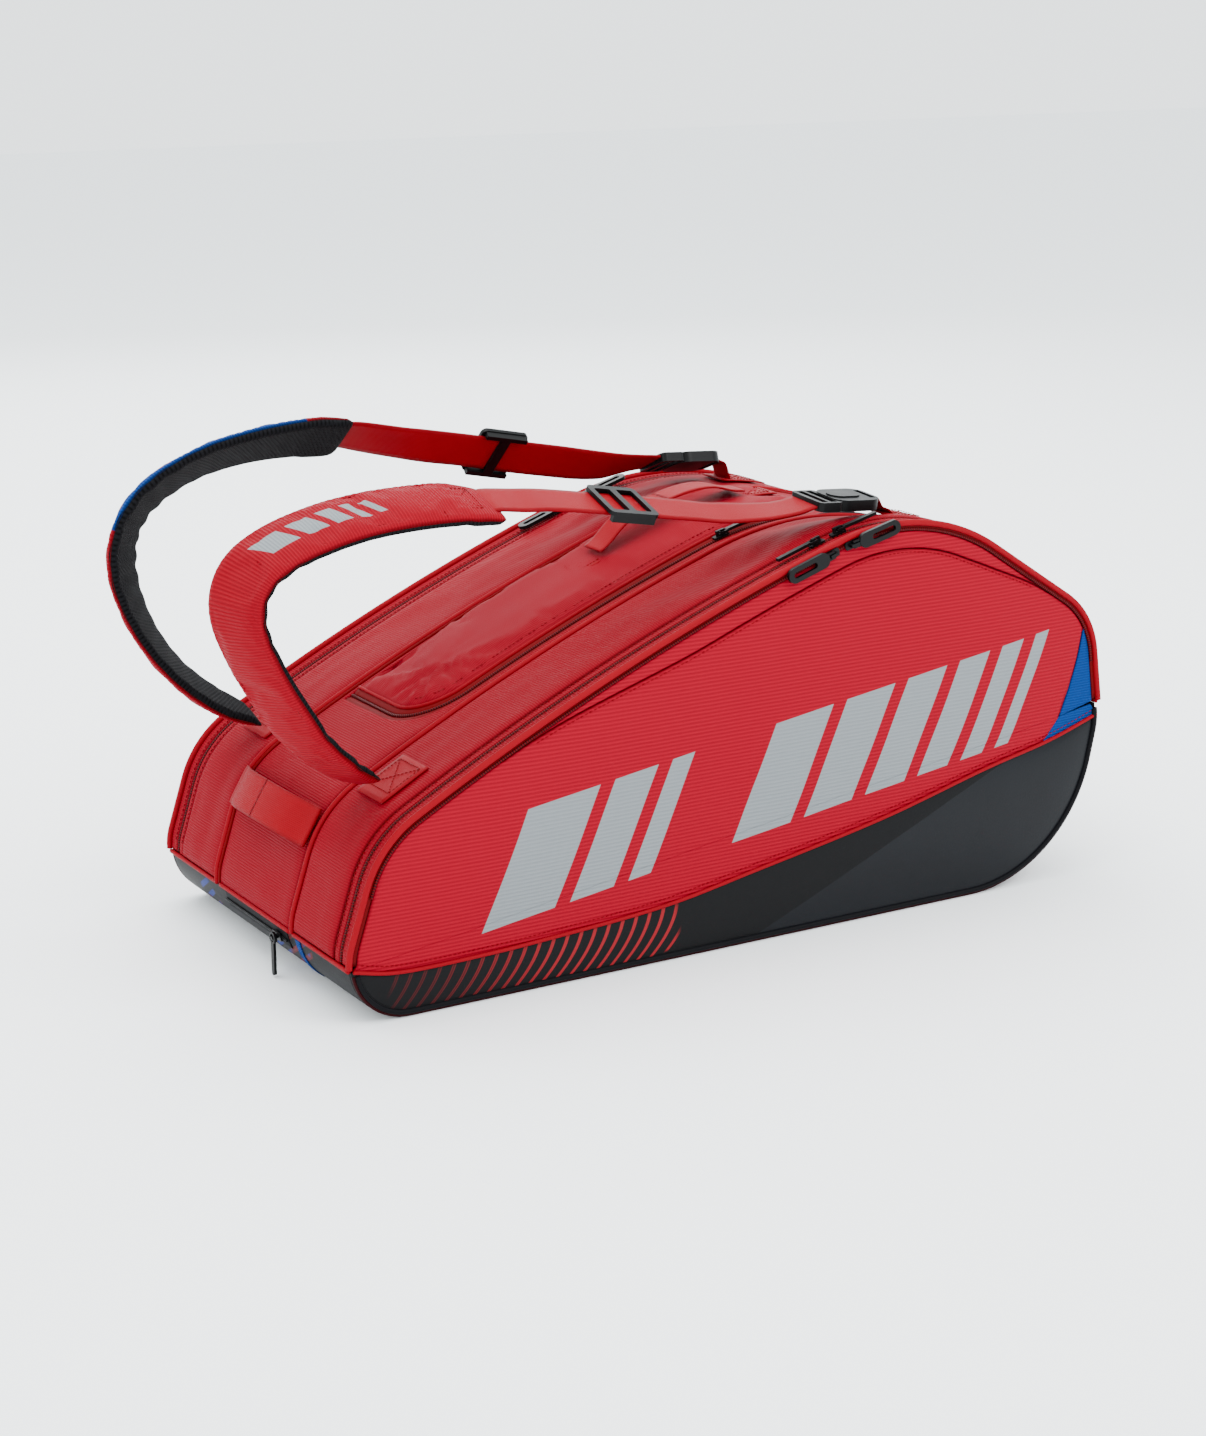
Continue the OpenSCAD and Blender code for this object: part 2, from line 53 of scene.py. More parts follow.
# ---------------------------------------------------------------- camera, light, floor
YAW, PITCH, DISTANCE = math.radians(31.6), math.radians(15.5), 2.454
TARGET = Vector((0, 0, 0.150))
LONG_SIDE = 1436  # pixels of the picture's long side
FOCAL = 2800 / LONG_SIDE
back = Vector((-math.sin(YAW) * math.cos(PITCH), -math.cos(YAW) * math.cos(PITCH), math.sin(PITCH)))
camera_data = bpy.data.cameras.new("camera")
camera_data.sensor_width = 36
camera_data.lens = 36 * FOCAL
camera_data.shift_x = -39 / LONG_SIDE
camera_data.shift_y = 3.1 / LONG_SIDE
camera_data.clip_end = 50
camera = bpy.data.objects.new("camera", camera_data)
camera.location = TARGET + back * DISTANCE
camera.rotation_euler = (-back).to_track_quat("-Z", "Y").to_euler()
bpy.context.scene.collection.objects.link(camera)
bpy.context.scene.camera = camera


def area_light(name, place, aim, size, power):
    data = bpy.data.lights.new(name, "AREA")
    data.shape = "RECTANGLE"
    data.size, data.size_y = size
    data.energy = power
    light = bpy.data.objects.new(name, data)
    light.location = place
    light.rotation_euler = (Vector(aim) - Vector(place)).to_track_quat("-Z", "Y").to_euler()
    bpy.context.scene.collection.objects.link(light)


area_light("key", (1.3, -2.3, 2.6), (0, 0, 0.2), (1.8, 1.8), 90)
area_light("top", (-0.3, 0.9, 3.0), (0, 0, 0.2), (3.0, 3.0), 150)
area_light("fill", (-3.2, -1.2, 1.3), (0, 0, 0.2), (2.0, 2.0), 30)
area_light("rim", (1.0, 3.0, 1.6), (0, 0, 0.3), (2.4, 1.6), 40)
world = bpy.data.worlds.new("studio")
world.use_nodes = True
world.node_tree.nodes["Background"].inputs["Color"].default_value = (0.90, 0.95, 0.97, 1)
world.node_tree.nodes["Background"].inputs["Strength"].default_value = 2.5
bpy.context.scene.world = world

# ---------------------------------------------------------------- the side profile, in mm
FOOT = [(50, 108), (0, 45), (92, 43)]
TOP = [(2240, 11), (190, 51), (0, 98)]
HEAD = [(75, 49), (0, 54), (60, 20), (0, 24)]
LOW_NOSE_HEADING = 19.5


def walk(p, seg, t):
    x, z, a = p
    r = seg[0]
    if r == 0:
        return (x + t * math.cos(math.radians(a)), z + t * math.sin(math.radians(a)), a)
    b = a - t
    return (
        x + r * (math.sin(math.radians(a)) - math.sin(math.radians(b))),
        z - r * (math.cos(math.radians(a)) - math.cos(math.radians(b))),
        b,
    )


def chain_start(chain, k):
    p = (-322.0, 0.0, 180.0)
    for seg in chain[:k]:
        p = walk(p, seg, seg[1])
    return p


def low_top():
    end = chain_start(FOOT + TOP, 6)
    crown = (2240, 29 - LOW_NOSE_HEADING)
    start = chain_start(FOOT + [crown], 4)
    slope = (math.cos(math.radians(-33)), math.sin(math.radians(-33)))
    d = (end[0] - start[0], end[1] - start[1])
    r = (-d[0] * slope[1] + d[1] * slope[0]) / (1 - math.cos(math.radians(LOW_NOSE_HEADING + 33)))
    nose = (r, LOW_NOSE_HEADING + 33)
    stop = walk(start, nose, nose[1])
    drop = (end[0] - stop[0]) * slope[0] + (end[1] - stop[1]) * slope[1]
    return [crown, nose, (0, drop)]


def closed(top):
    chain = FOOT + top + HEAD
    p = chain_start(chain, len(chain))
    heel = (p[1] / (1 + math.cos(math.radians(-102))), 78)
    return chain + [heel, (0, walk(p, heel, heel[1])[0] + 322)]


def seg_len(seg):
    return seg[1] if seg[0] == 0 else seg[0] * math.radians(seg[1])


CHAINS = [closed(TOP), closed(low_top())]
LENGTHS = [np.concatenate([[0], np.cumsum([seg_len(g) for g in c])]) for c in CHAINS]
GIRTH = LENGTHS[0][-1]
WALL_0 = LENGTHS[0][1] - 20
WALL_1 = LENGTHS[0][8] - 6


def place(s, low):
    """x, z and heading at the length s along a chain; past the end the heading goes on falling."""
    chain, lengths = CHAINS[low], LENGTHS[low]
    turn = 360 if s >= lengths[-1] else 0
    q = s - lengths[-1] if turn else s
    k = min(int(np.searchsorted(lengths, q, side="right")) - 1, len(chain) - 1)
    run = q - lengths[k]
    seg = chain[k]
    x, z, a = walk(chain_start(chain, k), seg, run if seg[0] == 0 else math.degrees(run / seg[0]))
    return x, z, a - turn


def low_station(s):
    """The low chain's station that belongs with station s of the front's chain."""
    a0, b0, a1, b1 = LENGTHS[1][4], LENGTHS[0][6], LENGTHS[1][4], LENGTHS[1][6]
    return np.interp(s, [0, a0, b0, b0 + 3000], [0, a1, b1, b1 + 3000])


TABLE_S = np.arange(0, GIRTH + 240, 1.0)
TABLE = [
    np.array([place(s, 0) for s in TABLE_S]),
    np.array([place(s, 1) for s in low_station(TABLE_S)]),
]


def smooth(t):
    t = np.clip(t, 0, 1)
    return t * t * (3 - 2 * t)


def surf(s, y, h):
    """Points on the wrapped surface: station s, width y, h above it. Also gives the outward normals. All in mm."""
    s, y, h = np.broadcast_arrays(np.asarray(s, float), np.asarray(y, float), np.asarray(h, float))
    w = smooth((-y - 80) / 68)
    part = []
    for table in TABLE:
        x, z, a = (np.interp(s, TABLE_S, table[:, i]) for i in range(3))
        a = np.radians(a)
        part.append((x, z, -np.sin(a), np.cos(a)))
    x, z, nx, nz = (part[0][i] * w + part[1][i] * (1 - w) for i in range(4))
    length = np.hypot(nx, nz)
    nx, nz = nx / length, nz / length
    points = np.stack([x + nx * h, y, z + nz * h], -1)
    return points, np.stack([nx, np.zeros_like(nx), nz], -1)


HINGE_A = np.array(place(WALL_0, 0)[:2])
HINGE_B = np.array(place(WALL_1, 0)[:2])
BOUNDARY = np.array([
    (-371.8, 45.7), (-330, 38), (-260, 38), (-190, 41), (-90, 48),
    (0, 63), (130, 87), (240, 114), (310, 129), (365.5, 146)
])
CORNER = np.array([(304, 127), (321, 150), (331, 174), (339, 200), (345, 226)])


def run_along(line):
    """The length from the start of a line of points to each of them."""
    return np.concatenate([[0], np.cumsum(np.linalg.norm(np.diff(line, axis=0), axis=1))])


def rows_between(a, b, t):
    """A grid of points from line a to line b, one column for each share in t."""
    return a[:, None] * (1 - t)[None, :, None] + b[:, None] * t[None, :, None]


def unit_rows(vectors):
    return vectors / np.linalg.norm(vectors, axis=1)[:, None]


def path(points, n):
    """n points evenly along a line of points, rounded by a spline."""
    fine = catmull(np.asarray(points, float), 12)
    t = run_along(fine)
    q = np.linspace(0, 1, n) * t[-1]
    return np.stack([np.interp(q, t, fine[:, i]) for i in range(fine.shape[1])], -1)


def catmull(p, k):
    """A rounded line through the points p with k steps between each two."""
    p = np.asarray(p, float)
    q = np.vstack([2 * p[0] - p[1], p, 2 * p[-1] - p[-2]])
    out = []
    for i in range(1, len(q) - 2):
        for j in range(k):
            t = j / k
            out.append(0.5 * (
                2 * q[i] + (q[i + 1] - q[i - 1]) * t
                + (2 * q[i - 1] - 5 * q[i] + 4 * q[i + 1] - q[i + 2]) * t * t
                + (-q[i - 1] + 3 * q[i] - 3 * q[i + 1] + q[i + 2]) * t ** 3
            ))
    return np.vstack([out, p[-1]])


def distance_to(points, line):
    """Distance from each point to a line of points, both in the side view."""
    a, b = line[:-1], line[1:]
    d = b - a
    out = np.full(len(points), 1e9)
    for i in range(len(a)):
        t = np.clip(((points - a[i]) @ d[i]) / max(d[i] @ d[i], 1e-9), 0, 1)
        out = np.minimum(out, np.linalg.norm(points - a[i] - t[:, None] * d[i], axis=1))
    return out


def ripple(points, scale, seed=0.0):
    """Smooth noise of about -1 to 1 at points in mm; scale is the size of a bump in mm."""
    flat = np.asarray(points, float).reshape(-1, 3) / scale + seed
    values = [noise.noise(Vector(p)) * 2 for p in flat]
    return np.array(values).reshape(np.shape(points)[:-1])


# ---------------------------------------------------------------- materials
# the studio is bright enough to bleach the floor, so the bag's colours are mixed darker by the same share
STUDIO = 3.1


def srgb(r, g, b):
    def line(c):
        c /= 255
        return c / 12.92 if c <= 0.04045 else ((c + 0.055) / 1.055) ** 2.4
    return (line(r) / STUDIO, line(g) / STUDIO, line(b) / STUDIO, 1.0)


class Paint:
    """A node material; sockets are passed round as values."""

    def __init__(self, name, roughness=0.6, specular=0.07):
        self.material = bpy.data.materials.new(name)
        self.material.use_nodes = True
        self.tree = self.material.node_tree
        self.shader = self.tree.nodes["Principled BSDF"]
        self.shader.inputs["Roughness"].default_value = roughness
        self.shader.inputs["Specular IOR Level"].default_value = specular

    def put(self, socket, value):
        if isinstance(value, bpy.types.NodeSocket):
            self.tree.links.new(value, socket)
        elif hasattr(socket.default_value, "__len__") and not hasattr(value, "__len__"):
            socket.default_value = [value] * len(socket.default_value)
        else:
            socket.default_value = value

    def node(self, kind, out=0, settings=(), **inputs):
        node = self.tree.nodes.new(kind)
        for key, value in dict(settings).items():
            setattr(node, key, value)
        for key, value in inputs.items():
            self.put(node.inputs[int(key[1:]) if key[0] == "_" else key], value)
        return node.outputs[out]

    def math(self, operation, a, b=0.0, c=None):
        extra = {"_2": c} if c is not None else {}
        return self.node("ShaderNodeMath", settings={"operation": operation}, _0=a, _1=b, **extra)

    def times(self, a, b):
        return self.math("MULTIPLY", a, b)

    def plus(self, a, b):
        return self.math("ADD", a, b)

    def minus(self, a, b):
        return self.math("SUBTRACT", a, b)

    def rest_of(self, value):
        return self.minus(1.0, value)

    def window(self, value, a, b):
        """1 between a and b, 0 outside."""
        return self.times(step(self, value, a), self.rest_of(step(self, value, b)))

    def mix(self, factor, a, b):
        node = self.tree.nodes.new("ShaderNodeMix")
        node.data_type = "RGBA"
        self.put(node.inputs[0], factor)
        self.put(node.inputs[6], a)
        self.put(node.inputs[7], b)
        return node.outputs[2]

    def split(self, vector):
        node = self.tree.nodes.new("ShaderNodeSeparateXYZ")
        self.put(node.inputs[0], vector)
        return node.outputs

    def cloth(self):
        """The piece's own cloth coordinates in mm, stored on its vertices."""
        node = self.tree.nodes.new("ShaderNodeAttribute")
        node.attribute_name = "cloth"
        return node.outputs["Vector"]

    def seam(self):
        # closeness to the piece's edges: the weight of the shade painted along its seams
        node = self.tree.nodes.new("ShaderNodeAttribute")
        node.attribute_name = "seam"
        return node.outputs["Fac"]

    def position(self):
        return self.split(self.node("ShaderNodeTexCoord", out=3))

    def wave(self, value, period):
        """0 to 1 and back over each period."""
        turn = self.math("MULTIPLY", value, 2 * math.pi / period)
        return self.math("MULTIPLY_ADD", self.math("SINE", turn), 0.5, 0.5)

    def noise(self, vector, scale, detail=3.0):
        return self.node("ShaderNodeTexNoise", Vector=vector, Scale=scale, Detail=detail)

    def colour(self, value):
        self.put(self.shader.inputs["Base Color"], value)

    def shade_along_seams(self, tone, dark, share):
        """Colours the cloth with tone, and paints shade with dark along its seams, where the pieces meet."""
        self.colour(self.mix(self.times(self.seam(), share), tone, dark))

    def rough(self, value):
        self.put(self.shader.inputs["Roughness"], value)

    def bump(self, *layers):
        """layers are (height socket, depth in m, strength)."""
        normal = None
        for height, depth, strength in layers:
            inputs = {"Height": height, "Distance": depth, "Strength": strength}
            if normal is not None:
                inputs["Normal"] = normal
            normal = self.node("ShaderNodeBump", **inputs)
        self.put(self.shader.inputs["Normal"], normal)


def step(paint, value, edge, width=0.5):
    """0 below the edge and 1 above it, over a short width."""
    node = paint.tree.nodes.new("ShaderNodeMapRange")
    node.interpolation_type = "SMOOTHSTEP"
    paint.put(node.inputs["Value"], value)
    paint.put(node.inputs["From Min"], edge - width / 2)
    paint.put(node.inputs["From Max"], edge + width / 2)
    return node.outputs[0]


RED_DEEP = srgb(112, 1, 8)
BLUE = srgb(6, 84, 186)
SILVER = srgb(186, 194, 199)


def ribbed(name, base, deep, light, rib=2.4, depth=0.00022, roughness=0.58, graphic=None):
    """Fine ribs across the cloth's first direction, thread noise, shade painted along the seams and faint fading."""
    p = Paint(name, roughness=roughness, specular=0.03)
    u, v, _ = p.split(p.cloth())
    ribs = p.wave(p.plus(u, p.times(p.noise(p.cloth(), 0.05, 1.0), 0.35)), rib)
    threads = p.wave(v, 1.6)
    cloudy = p.noise(p.cloth(), 0.012, 2.0)
    speck = p.noise(p.cloth(), 0.9, 2.0)
    tone = p.mix(p.times(cloudy, 0.22), base, light)
    tone = p.mix(p.times(p.rest_of(ribs), 0.34), tone, deep)
    tone = p.mix(p.times(speck, 0.03), tone, deep)
    if graphic is not None:
        mask = graphic(p)
        silver = p.mix(p.times(ribs, 0.35), SILVER, srgb(214, 220, 223))
        tone = p.mix(mask, tone, silver)
        p.rough(p.minus(roughness, p.times(mask, 0.22)))
    # deep is painted along the seams as shade
    p.shade_along_seams(tone, deep, 0.85)
    p.bump((ribs, depth * 2, 0.9), (threads, 0.00006, 0.3), (speck, 0.00004, 0.15))
    return p.material


def bars(p):
    """Plain slanted silver bars that rise towards the head end."""
    x, y, z = p.position()
    x, z = p.times(x, 1000.0), p.times(z, 1000.0)
    lift = p.minus(z, p.times(x, 0.15))
    lean = p.minus(x, p.times(z, 0.42))
    total = None
    for left, widths in ((-282, (62, 38, 20)), (-62, (54, 46, 38, 30, 22, 14))):
        for width in widths:
            one = p.times(p.window(lean, left, left + width), p.window(lift, 95, 186))
            total = one if total is None else p.math("MAXIMUM", total, one)
            left += width + 13
    return p.times(total, step(p, p.times(y, -1000.0), 170.0))


def pad_bars(p):
    """A short row of slanted bars on a shoulder pad."""
    u, v, _ = p.split(p.cloth())
    lean = p.plus(u, p.times(v, 0.42))
    total = None
    left = 236
    for width in (24, 18, 13, 9, 6):
        one = p.window(lean, left, left + width)
        total = one if total is None else p.math("MAXIMUM", total, one)
        left += width + 7
    level = p.rest_of(step(p, p.math("ABSOLUTE", v), 11.0))
    return p.times(total, level)


def plain_red(name, base, deep, grain=1.3):
    """Smooth woven tape or piping."""
    p = Paint(name, roughness=0.55, specular=0.04)
    u, v, _ = p.split(p.cloth())
    twill = p.wave(p.plus(u, v), grain)
    cloudy = p.noise(p.cloth(), 0.02, 2.0)
    tone = p.mix(p.times(twill, 0.14), base, deep)
    tone = p.mix(p.times(cloudy, 0.2), tone, deep)
    # deep is painted along the seams as shade
    p.shade_along_seams(tone, deep, 0.85)
    p.bump((twill, 0.00012, 0.6))
    return p.material


def webbing_paint(name, base, deep):
    p = Paint(name, roughness=0.5, specular=0.04)
    u, v, _ = p.split(p.cloth())
    cord = p.wave(v, 1.5)
    weft = p.wave(u, 0.9)
    tone = p.mix(p.times(p.times(cord, weft), 0.25), base, deep)
    tone = p.mix(p.times(p.noise(p.cloth(), 0.03, 2.0), 0.2), tone, deep)
    # deep is painted along the seams as shade
    p.shade_along_seams(tone, deep, 0.8)
    p.bump((cord, 0.0002, 0.6), (weft, 0.00012, 0.5))
    return p.material


def coil_paint(name, base, deep):
    """Teeth of a sewn coil along the cloth's first direction."""
    p = Paint(name, roughness=0.4)
    u, v, _ = p.split(p.cloth())
    teeth = p.wave(u, 2.2)
    p.colour(p.mix(teeth, deep, base))
    p.bump((teeth, 0.0006, 0.9))
    return p.material


def mesh_paint():
    """Open spacer mesh: rows of small dark cells."""
    p = Paint("spacer_mesh", roughness=0.85, specular=0.05)
    u, v, _ = p.split(p.cloth())
    a = p.wave(p.plus(u, p.times(v, 0.6)), 3.6)
    b = p.wave(p.minus(u, p.times(v, 0.6)), 3.6)
    cell = p.times(a, b)
    tone = p.mix(cell, srgb(34, 34, 38), srgb(4, 4, 5))
    # near black is painted along the seams as shade
    p.shade_along_seams(tone, srgb(5, 5, 6), 0.8)
    p.bump((p.rest_of(cell), 0.0009, 0.9))
    return p.material


def plastic_paint():
    p = Paint("satin_plastic", roughness=0.36, specular=0.12)
    coords = p.node("ShaderNodeTexCoord", out=3)
    fine = p.noise(coords, 1800.0, 2.0)
    broad = p.noise(coords, 60.0, 2.0)
    p.colour(p.mix(broad, srgb(9, 9, 11), srgb(17, 18, 20)))
    p.rough(p.math("MULTIPLY_ADD", broad, 0.2, 0.28))
    p.bump((fine, 0.00008, 0.35))
    return p.material


def lower_paint():
    """The dark lower panels: curved red stripes, a near-black middle and smooth grey coated cloth."""
    p = Paint("lower_panel", roughness=0.42, specular=0.12)
    x, y, z = p.position()
    x, z = p.times(x, 1000.0), p.times(z, 1000.0)
    u, v, _ = p.split(p.cloth())
    grain = p.noise(p.cloth(), 0.55, 4.0)
    cloudy = p.noise(p.cloth(), 0.02, 2.0)
    # stripes that sweep back towards the handle end as they drop
    drop = p.minus(62.0, z)
    sweep = p.times(p.times(drop, drop), 0.009)
    along = p.plus(x, sweep)
    phase = p.math("FRACT", p.math("DIVIDE", p.plus(along, 345.0), 12.6))
    off = p.math("ABSOLUTE", p.minus(phase, 0.5))
    stripe = p.rest_of(step(p, off, 0.13, 0.06))
    core = p.rest_of(step(p, off, 0.05, 0.05))
    window = p.times(step(p, x, -338.0, 12.0), p.rest_of(step(p, x, -76.0, 8.0)))
    tail = step(p, p.plus(z, p.times(x, -0.17)), 24.0, 3.0)
    window = p.times(window, p.math("MAXIMUM", tail, p.rest_of(step(p, x, -150.0, 30.0))))
    stripe = p.times(stripe, window)
    fade = step(p, x, -250.0, 150.0)
    stripe_tone = p.mix(fade, srgb(96, 22, 28), srgb(205, 34, 48))
    stripe_tone = p.mix(p.times(core, p.rest_of(fade)), stripe_tone, srgb(70, 14, 20))
    woven = p.mix(p.times(grain, 0.5), srgb(10, 10, 13), srgb(24, 24, 28))
    woven = p.mix(stripe, woven, stripe_tone)
    # the coated part begins on a slanted line
    side = p.minus(x, p.math("MULTIPLY_ADD", z, 2.35, -13.0))
    coated = step(p, side, 0.0, 1.2)
    leather = p.mix(cloudy, srgb(18, 20, 26), srgb(27, 30, 37))
    tone = p.mix(coated, woven, leather)
    # near black is painted along the seams as shade
    p.shade_along_seams(tone, srgb(6, 6, 8), 0.8)
    p.rough(p.minus(0.62, p.times(coated, 0.30)))
    p.bump((grain, 0.00025, 0.4), (stripe, 0.0002, 0.4), (coated, 0.0006, 0.5))
    return p.material


def base_paint():
    """The base wrap: near black, with patches of slanted red and blue stripes towards the bends."""
    p = Paint("base_wrap", roughness=0.5)
    u, v, _ = p.split(p.cloth())
    grain = p.noise(p.cloth(), 0.5, 3.0)
    slant = p.plus(u, p.times(v, 0.55))
    stripe = step(p, p.wave(slant, 13.0), 0.62, 0.08)
    kind = step(p, p.noise(p.cloth(), 0.022, 1.0), 0.52, 0.04)
    where = p.node("ShaderNodeTexNoise", Vector=p.cloth(), Scale=0.011, Detail=1.0)
    x, y, z = p.position()
    xm = p.times(x, 1000.0)
    right = step(p, xm, 105.0, 60.0)
    patch = p.math("MAXIMUM", right, step(p, where, 0.60, 0.03))
    near_end = step(p, xm, -372.0, 6.0)
    patch = p.times(patch, near_end)
    patch = p.times(patch, p.rest_of(step(p, z, 0.062, 0.004)))
    dark = p.mix(grain, srgb(12, 12, 15), srgb(26, 26, 30))
    print_tone = p.mix(kind, srgb(128, 30, 38), srgb(32, 66, 176))
    tone = p.mix(p.times(stripe, patch), dark, print_tone)
    # near black is painted along the seams as shade
    p.shade_along_seams(tone, srgb(6, 6, 8), 0.8)
    p.bump((grain, 0.0003, 0.4))
    return p.material


def lining_paint():
    """Thin quilted lining."""
    p = Paint("lining", roughness=0.7)
    u, v, _ = p.split(p.cloth())
    weave = p.times(p.wave(u, 1.2), p.wave(v, 1.2))
    grain = p.noise(p.cloth(), 0.05, 3.0)
    # the lining darkens to near black along its seams: painted shade
    p.colour(p.mix(p.times(p.seam(), 0.7),
                   p.mix(grain, srgb(52, 52, 57), srgb(72, 72, 78)), srgb(20, 20, 22)))
    p.bump((weave, 0.00015, 0.5))
    return p.material


def board_paint():
    p = Paint("board", roughness=0.6)
    coords = p.node("ShaderNodeTexCoord", out=3)
    grain = p.noise(coords, 90.0, 5.0)
    p.colour(p.mix(grain, srgb(48, 45, 42), srgb(74, 70, 66)))
    p.bump((grain, 0.0003, 0.5))
    return p.material


def floor_paint():
    p = Paint("floor", roughness=0.9, specular=0.1)
    p.colour((0.93, 0.95, 0.96, 1))
    return p.material


side_red = ribbed("side_red", srgb(230, 8, 56), RED_DEEP, srgb(236, 20, 58), rib=3.2, graphic=bars)
# the top's red is mixed darker than the side's red: painted shade that offsets the strong light falling on the top
shaded_top_red = ribbed("shaded_top_red", srgb(200, 6, 42), RED_DEEP, srgb(216, 18, 54), rib=2.2, depth=0.00014)
flap_red = ribbed("flap_red", srgb(202, 6, 44), RED_DEEP, srgb(218, 22, 56), rib=1.8, depth=0.00008)
pad_red = ribbed("pad_red", srgb(212, 8, 44), RED_DEEP, srgb(226, 24, 56), rib=2.6, depth=0.00025)
pad_marked = ribbed("pad_marked", srgb(212, 8, 44), RED_DEEP, srgb(226, 24, 56), rib=2.6, depth=0.00025,
                    graphic=lambda p: pad_bars(p))
pad_blue = ribbed("pad_blue", BLUE, srgb(2, 24, 70), srgb(20, 104, 206), rib=2.2, depth=0.0002)
corner_blue = ribbed("corner_blue", srgb(8, 84, 184), srgb(3, 30, 84), srgb(24, 110, 206), rib=2.4)
piping_red = plain_red("piping_red", srgb(212, 8, 40), RED_DEEP)
tape_red = plain_red("tape_red", srgb(170, 4, 20), srgb(84, 1, 8))
webbing_red = webbing_paint("webbing_red", srgb(212, 6, 36), srgb(120, 2, 16))
coil_red = coil_paint("coil_red", srgb(150, 6, 20), srgb(56, 1, 6))
coil_black = coil_paint("coil_black", srgb(20, 20, 23), srgb(5, 5, 6))
stitch_red = plain_red("stitch_red", srgb(188, 8, 26), RED_DEEP, grain=0.6)
mesh_black = mesh_paint()
piping_black = plain_red("piping_black", srgb(30, 30, 34), srgb(8, 8, 9))
binding_dark = plain_red("binding_dark", srgb(74, 16, 22), srgb(20, 4, 8))
tape_black = plain_red("tape_black", srgb(34, 34, 38), srgb(10, 10, 12))
plastic = plastic_paint()
lower_dark = lower_paint()
base_dark = base_paint()
lining = lining_paint()
board = board_paint()

floor_mesh = bpy.data.meshes.new("floor")
floor_mesh.from_pydata([(-9, -9, 0), (9, -9, 0), (9, 9, 0), (-9, 9, 0)], [], [(0, 1, 2, 3)])
floor = bpy.data.objects.new("floor", floor_mesh)
bpy.context.scene.collection.objects.link(floor)
floor_mesh.materials.append(floor_paint())


# ---------------------------------------------------------------- mesh makers, in mm
def build(name, verts, faces, cloth, seam, materials, body, replaces=(), face_slots=None, ride=True):
    mesh = bpy.data.meshes.new(name)
    mesh.from_pydata((np.asarray(verts) * MM).tolist(), [], faces)
    for material in materials:
        mesh.materials.append(material)
    if face_slots is not None:
        mesh.polygons.foreach_set("material_index", np.asarray(face_slots, np.int32))
    cloth = np.asarray(cloth, np.float32).reshape(-1, 2)
    cloth = np.column_stack([cloth, np.zeros(len(cloth), np.float32)])
    a = mesh.attributes.new("cloth", "FLOAT_VECTOR", "POINT")
    a.data.foreach_set("vector", cloth.ravel())
    # how strongly shade is painted along the piece's edges and seams
    b = mesh.attributes.new("seam", "FLOAT", "POINT")
    b.data.foreach_set("value", np.broadcast_to(np.asarray(seam, np.float32), len(cloth)).copy().ravel())
    bm = bmesh.new()
    bm.from_mesh(mesh)
    bmesh.ops.remove_doubles(bm, verts=bm.verts, dist=0.00002)
    bmesh.ops.dissolve_degenerate(bm, dist=0.00001, edges=bm.edges)
    bmesh.ops.delete(bm, geom=[v for v in bm.verts if not v.link_faces], context="VERTS")
    bmesh.ops.recalc_face_normals(bm, faces=bm.faces)
    bm.to_mesh(mesh)
    bm.free()
    mesh.polygons.foreach_set("use_smooth", [True] * len(mesh.polygons))
    piece = bpy.data.objects.new(name, mesh)
    bpy.context.scene.collection.objects.link(piece)
    if ride:
        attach(piece, body)
    if replaces:
        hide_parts(*replaces)
    return piece


def sheet(name, outer, inner, cloth, seam, materials, body, replaces=(), keep=None, paint=None, ride=True):
    """A thick sheet from two grids of points. keep marks the cells that are cloth; paint picks their material."""
    n, m, _ = outer.shape
    base = n * m
    keep = np.ones((n - 1, m - 1), bool) if keep is None else keep
    faces, slots, edges = [], [], {}
    for i, j in np.argwhere(keep).tolist():
        loop = [i * m + j, i * m + j + 1, (i + 1) * m + j + 1, (i + 1) * m + j]
        kind = 0 if paint is None else int(paint[i, j])
        faces += [loop, [base + v for v in reversed(loop)]]
        slots += [kind, len(materials) - 1]
        for a, b in zip(loop, loop[1:] + loop[:1]):
            if edges.pop((b, a), None) is None:
                edges[(a, b)] = kind
    for (a, b), kind in edges.items():
        faces.append([b, a, base + a, base + b])
        slots.append(kind)
    two = np.concatenate([np.reshape(cloth, (-1, 2))] * 2)
    seam = np.broadcast_to(np.asarray(seam, float), (n, m)).ravel()
    return build(name, np.concatenate([outer.reshape(-1, 3), inner.reshape(-1, 3)]), faces, two,
                 np.concatenate([seam, seam]), materials, body, replaces, slots, ride)


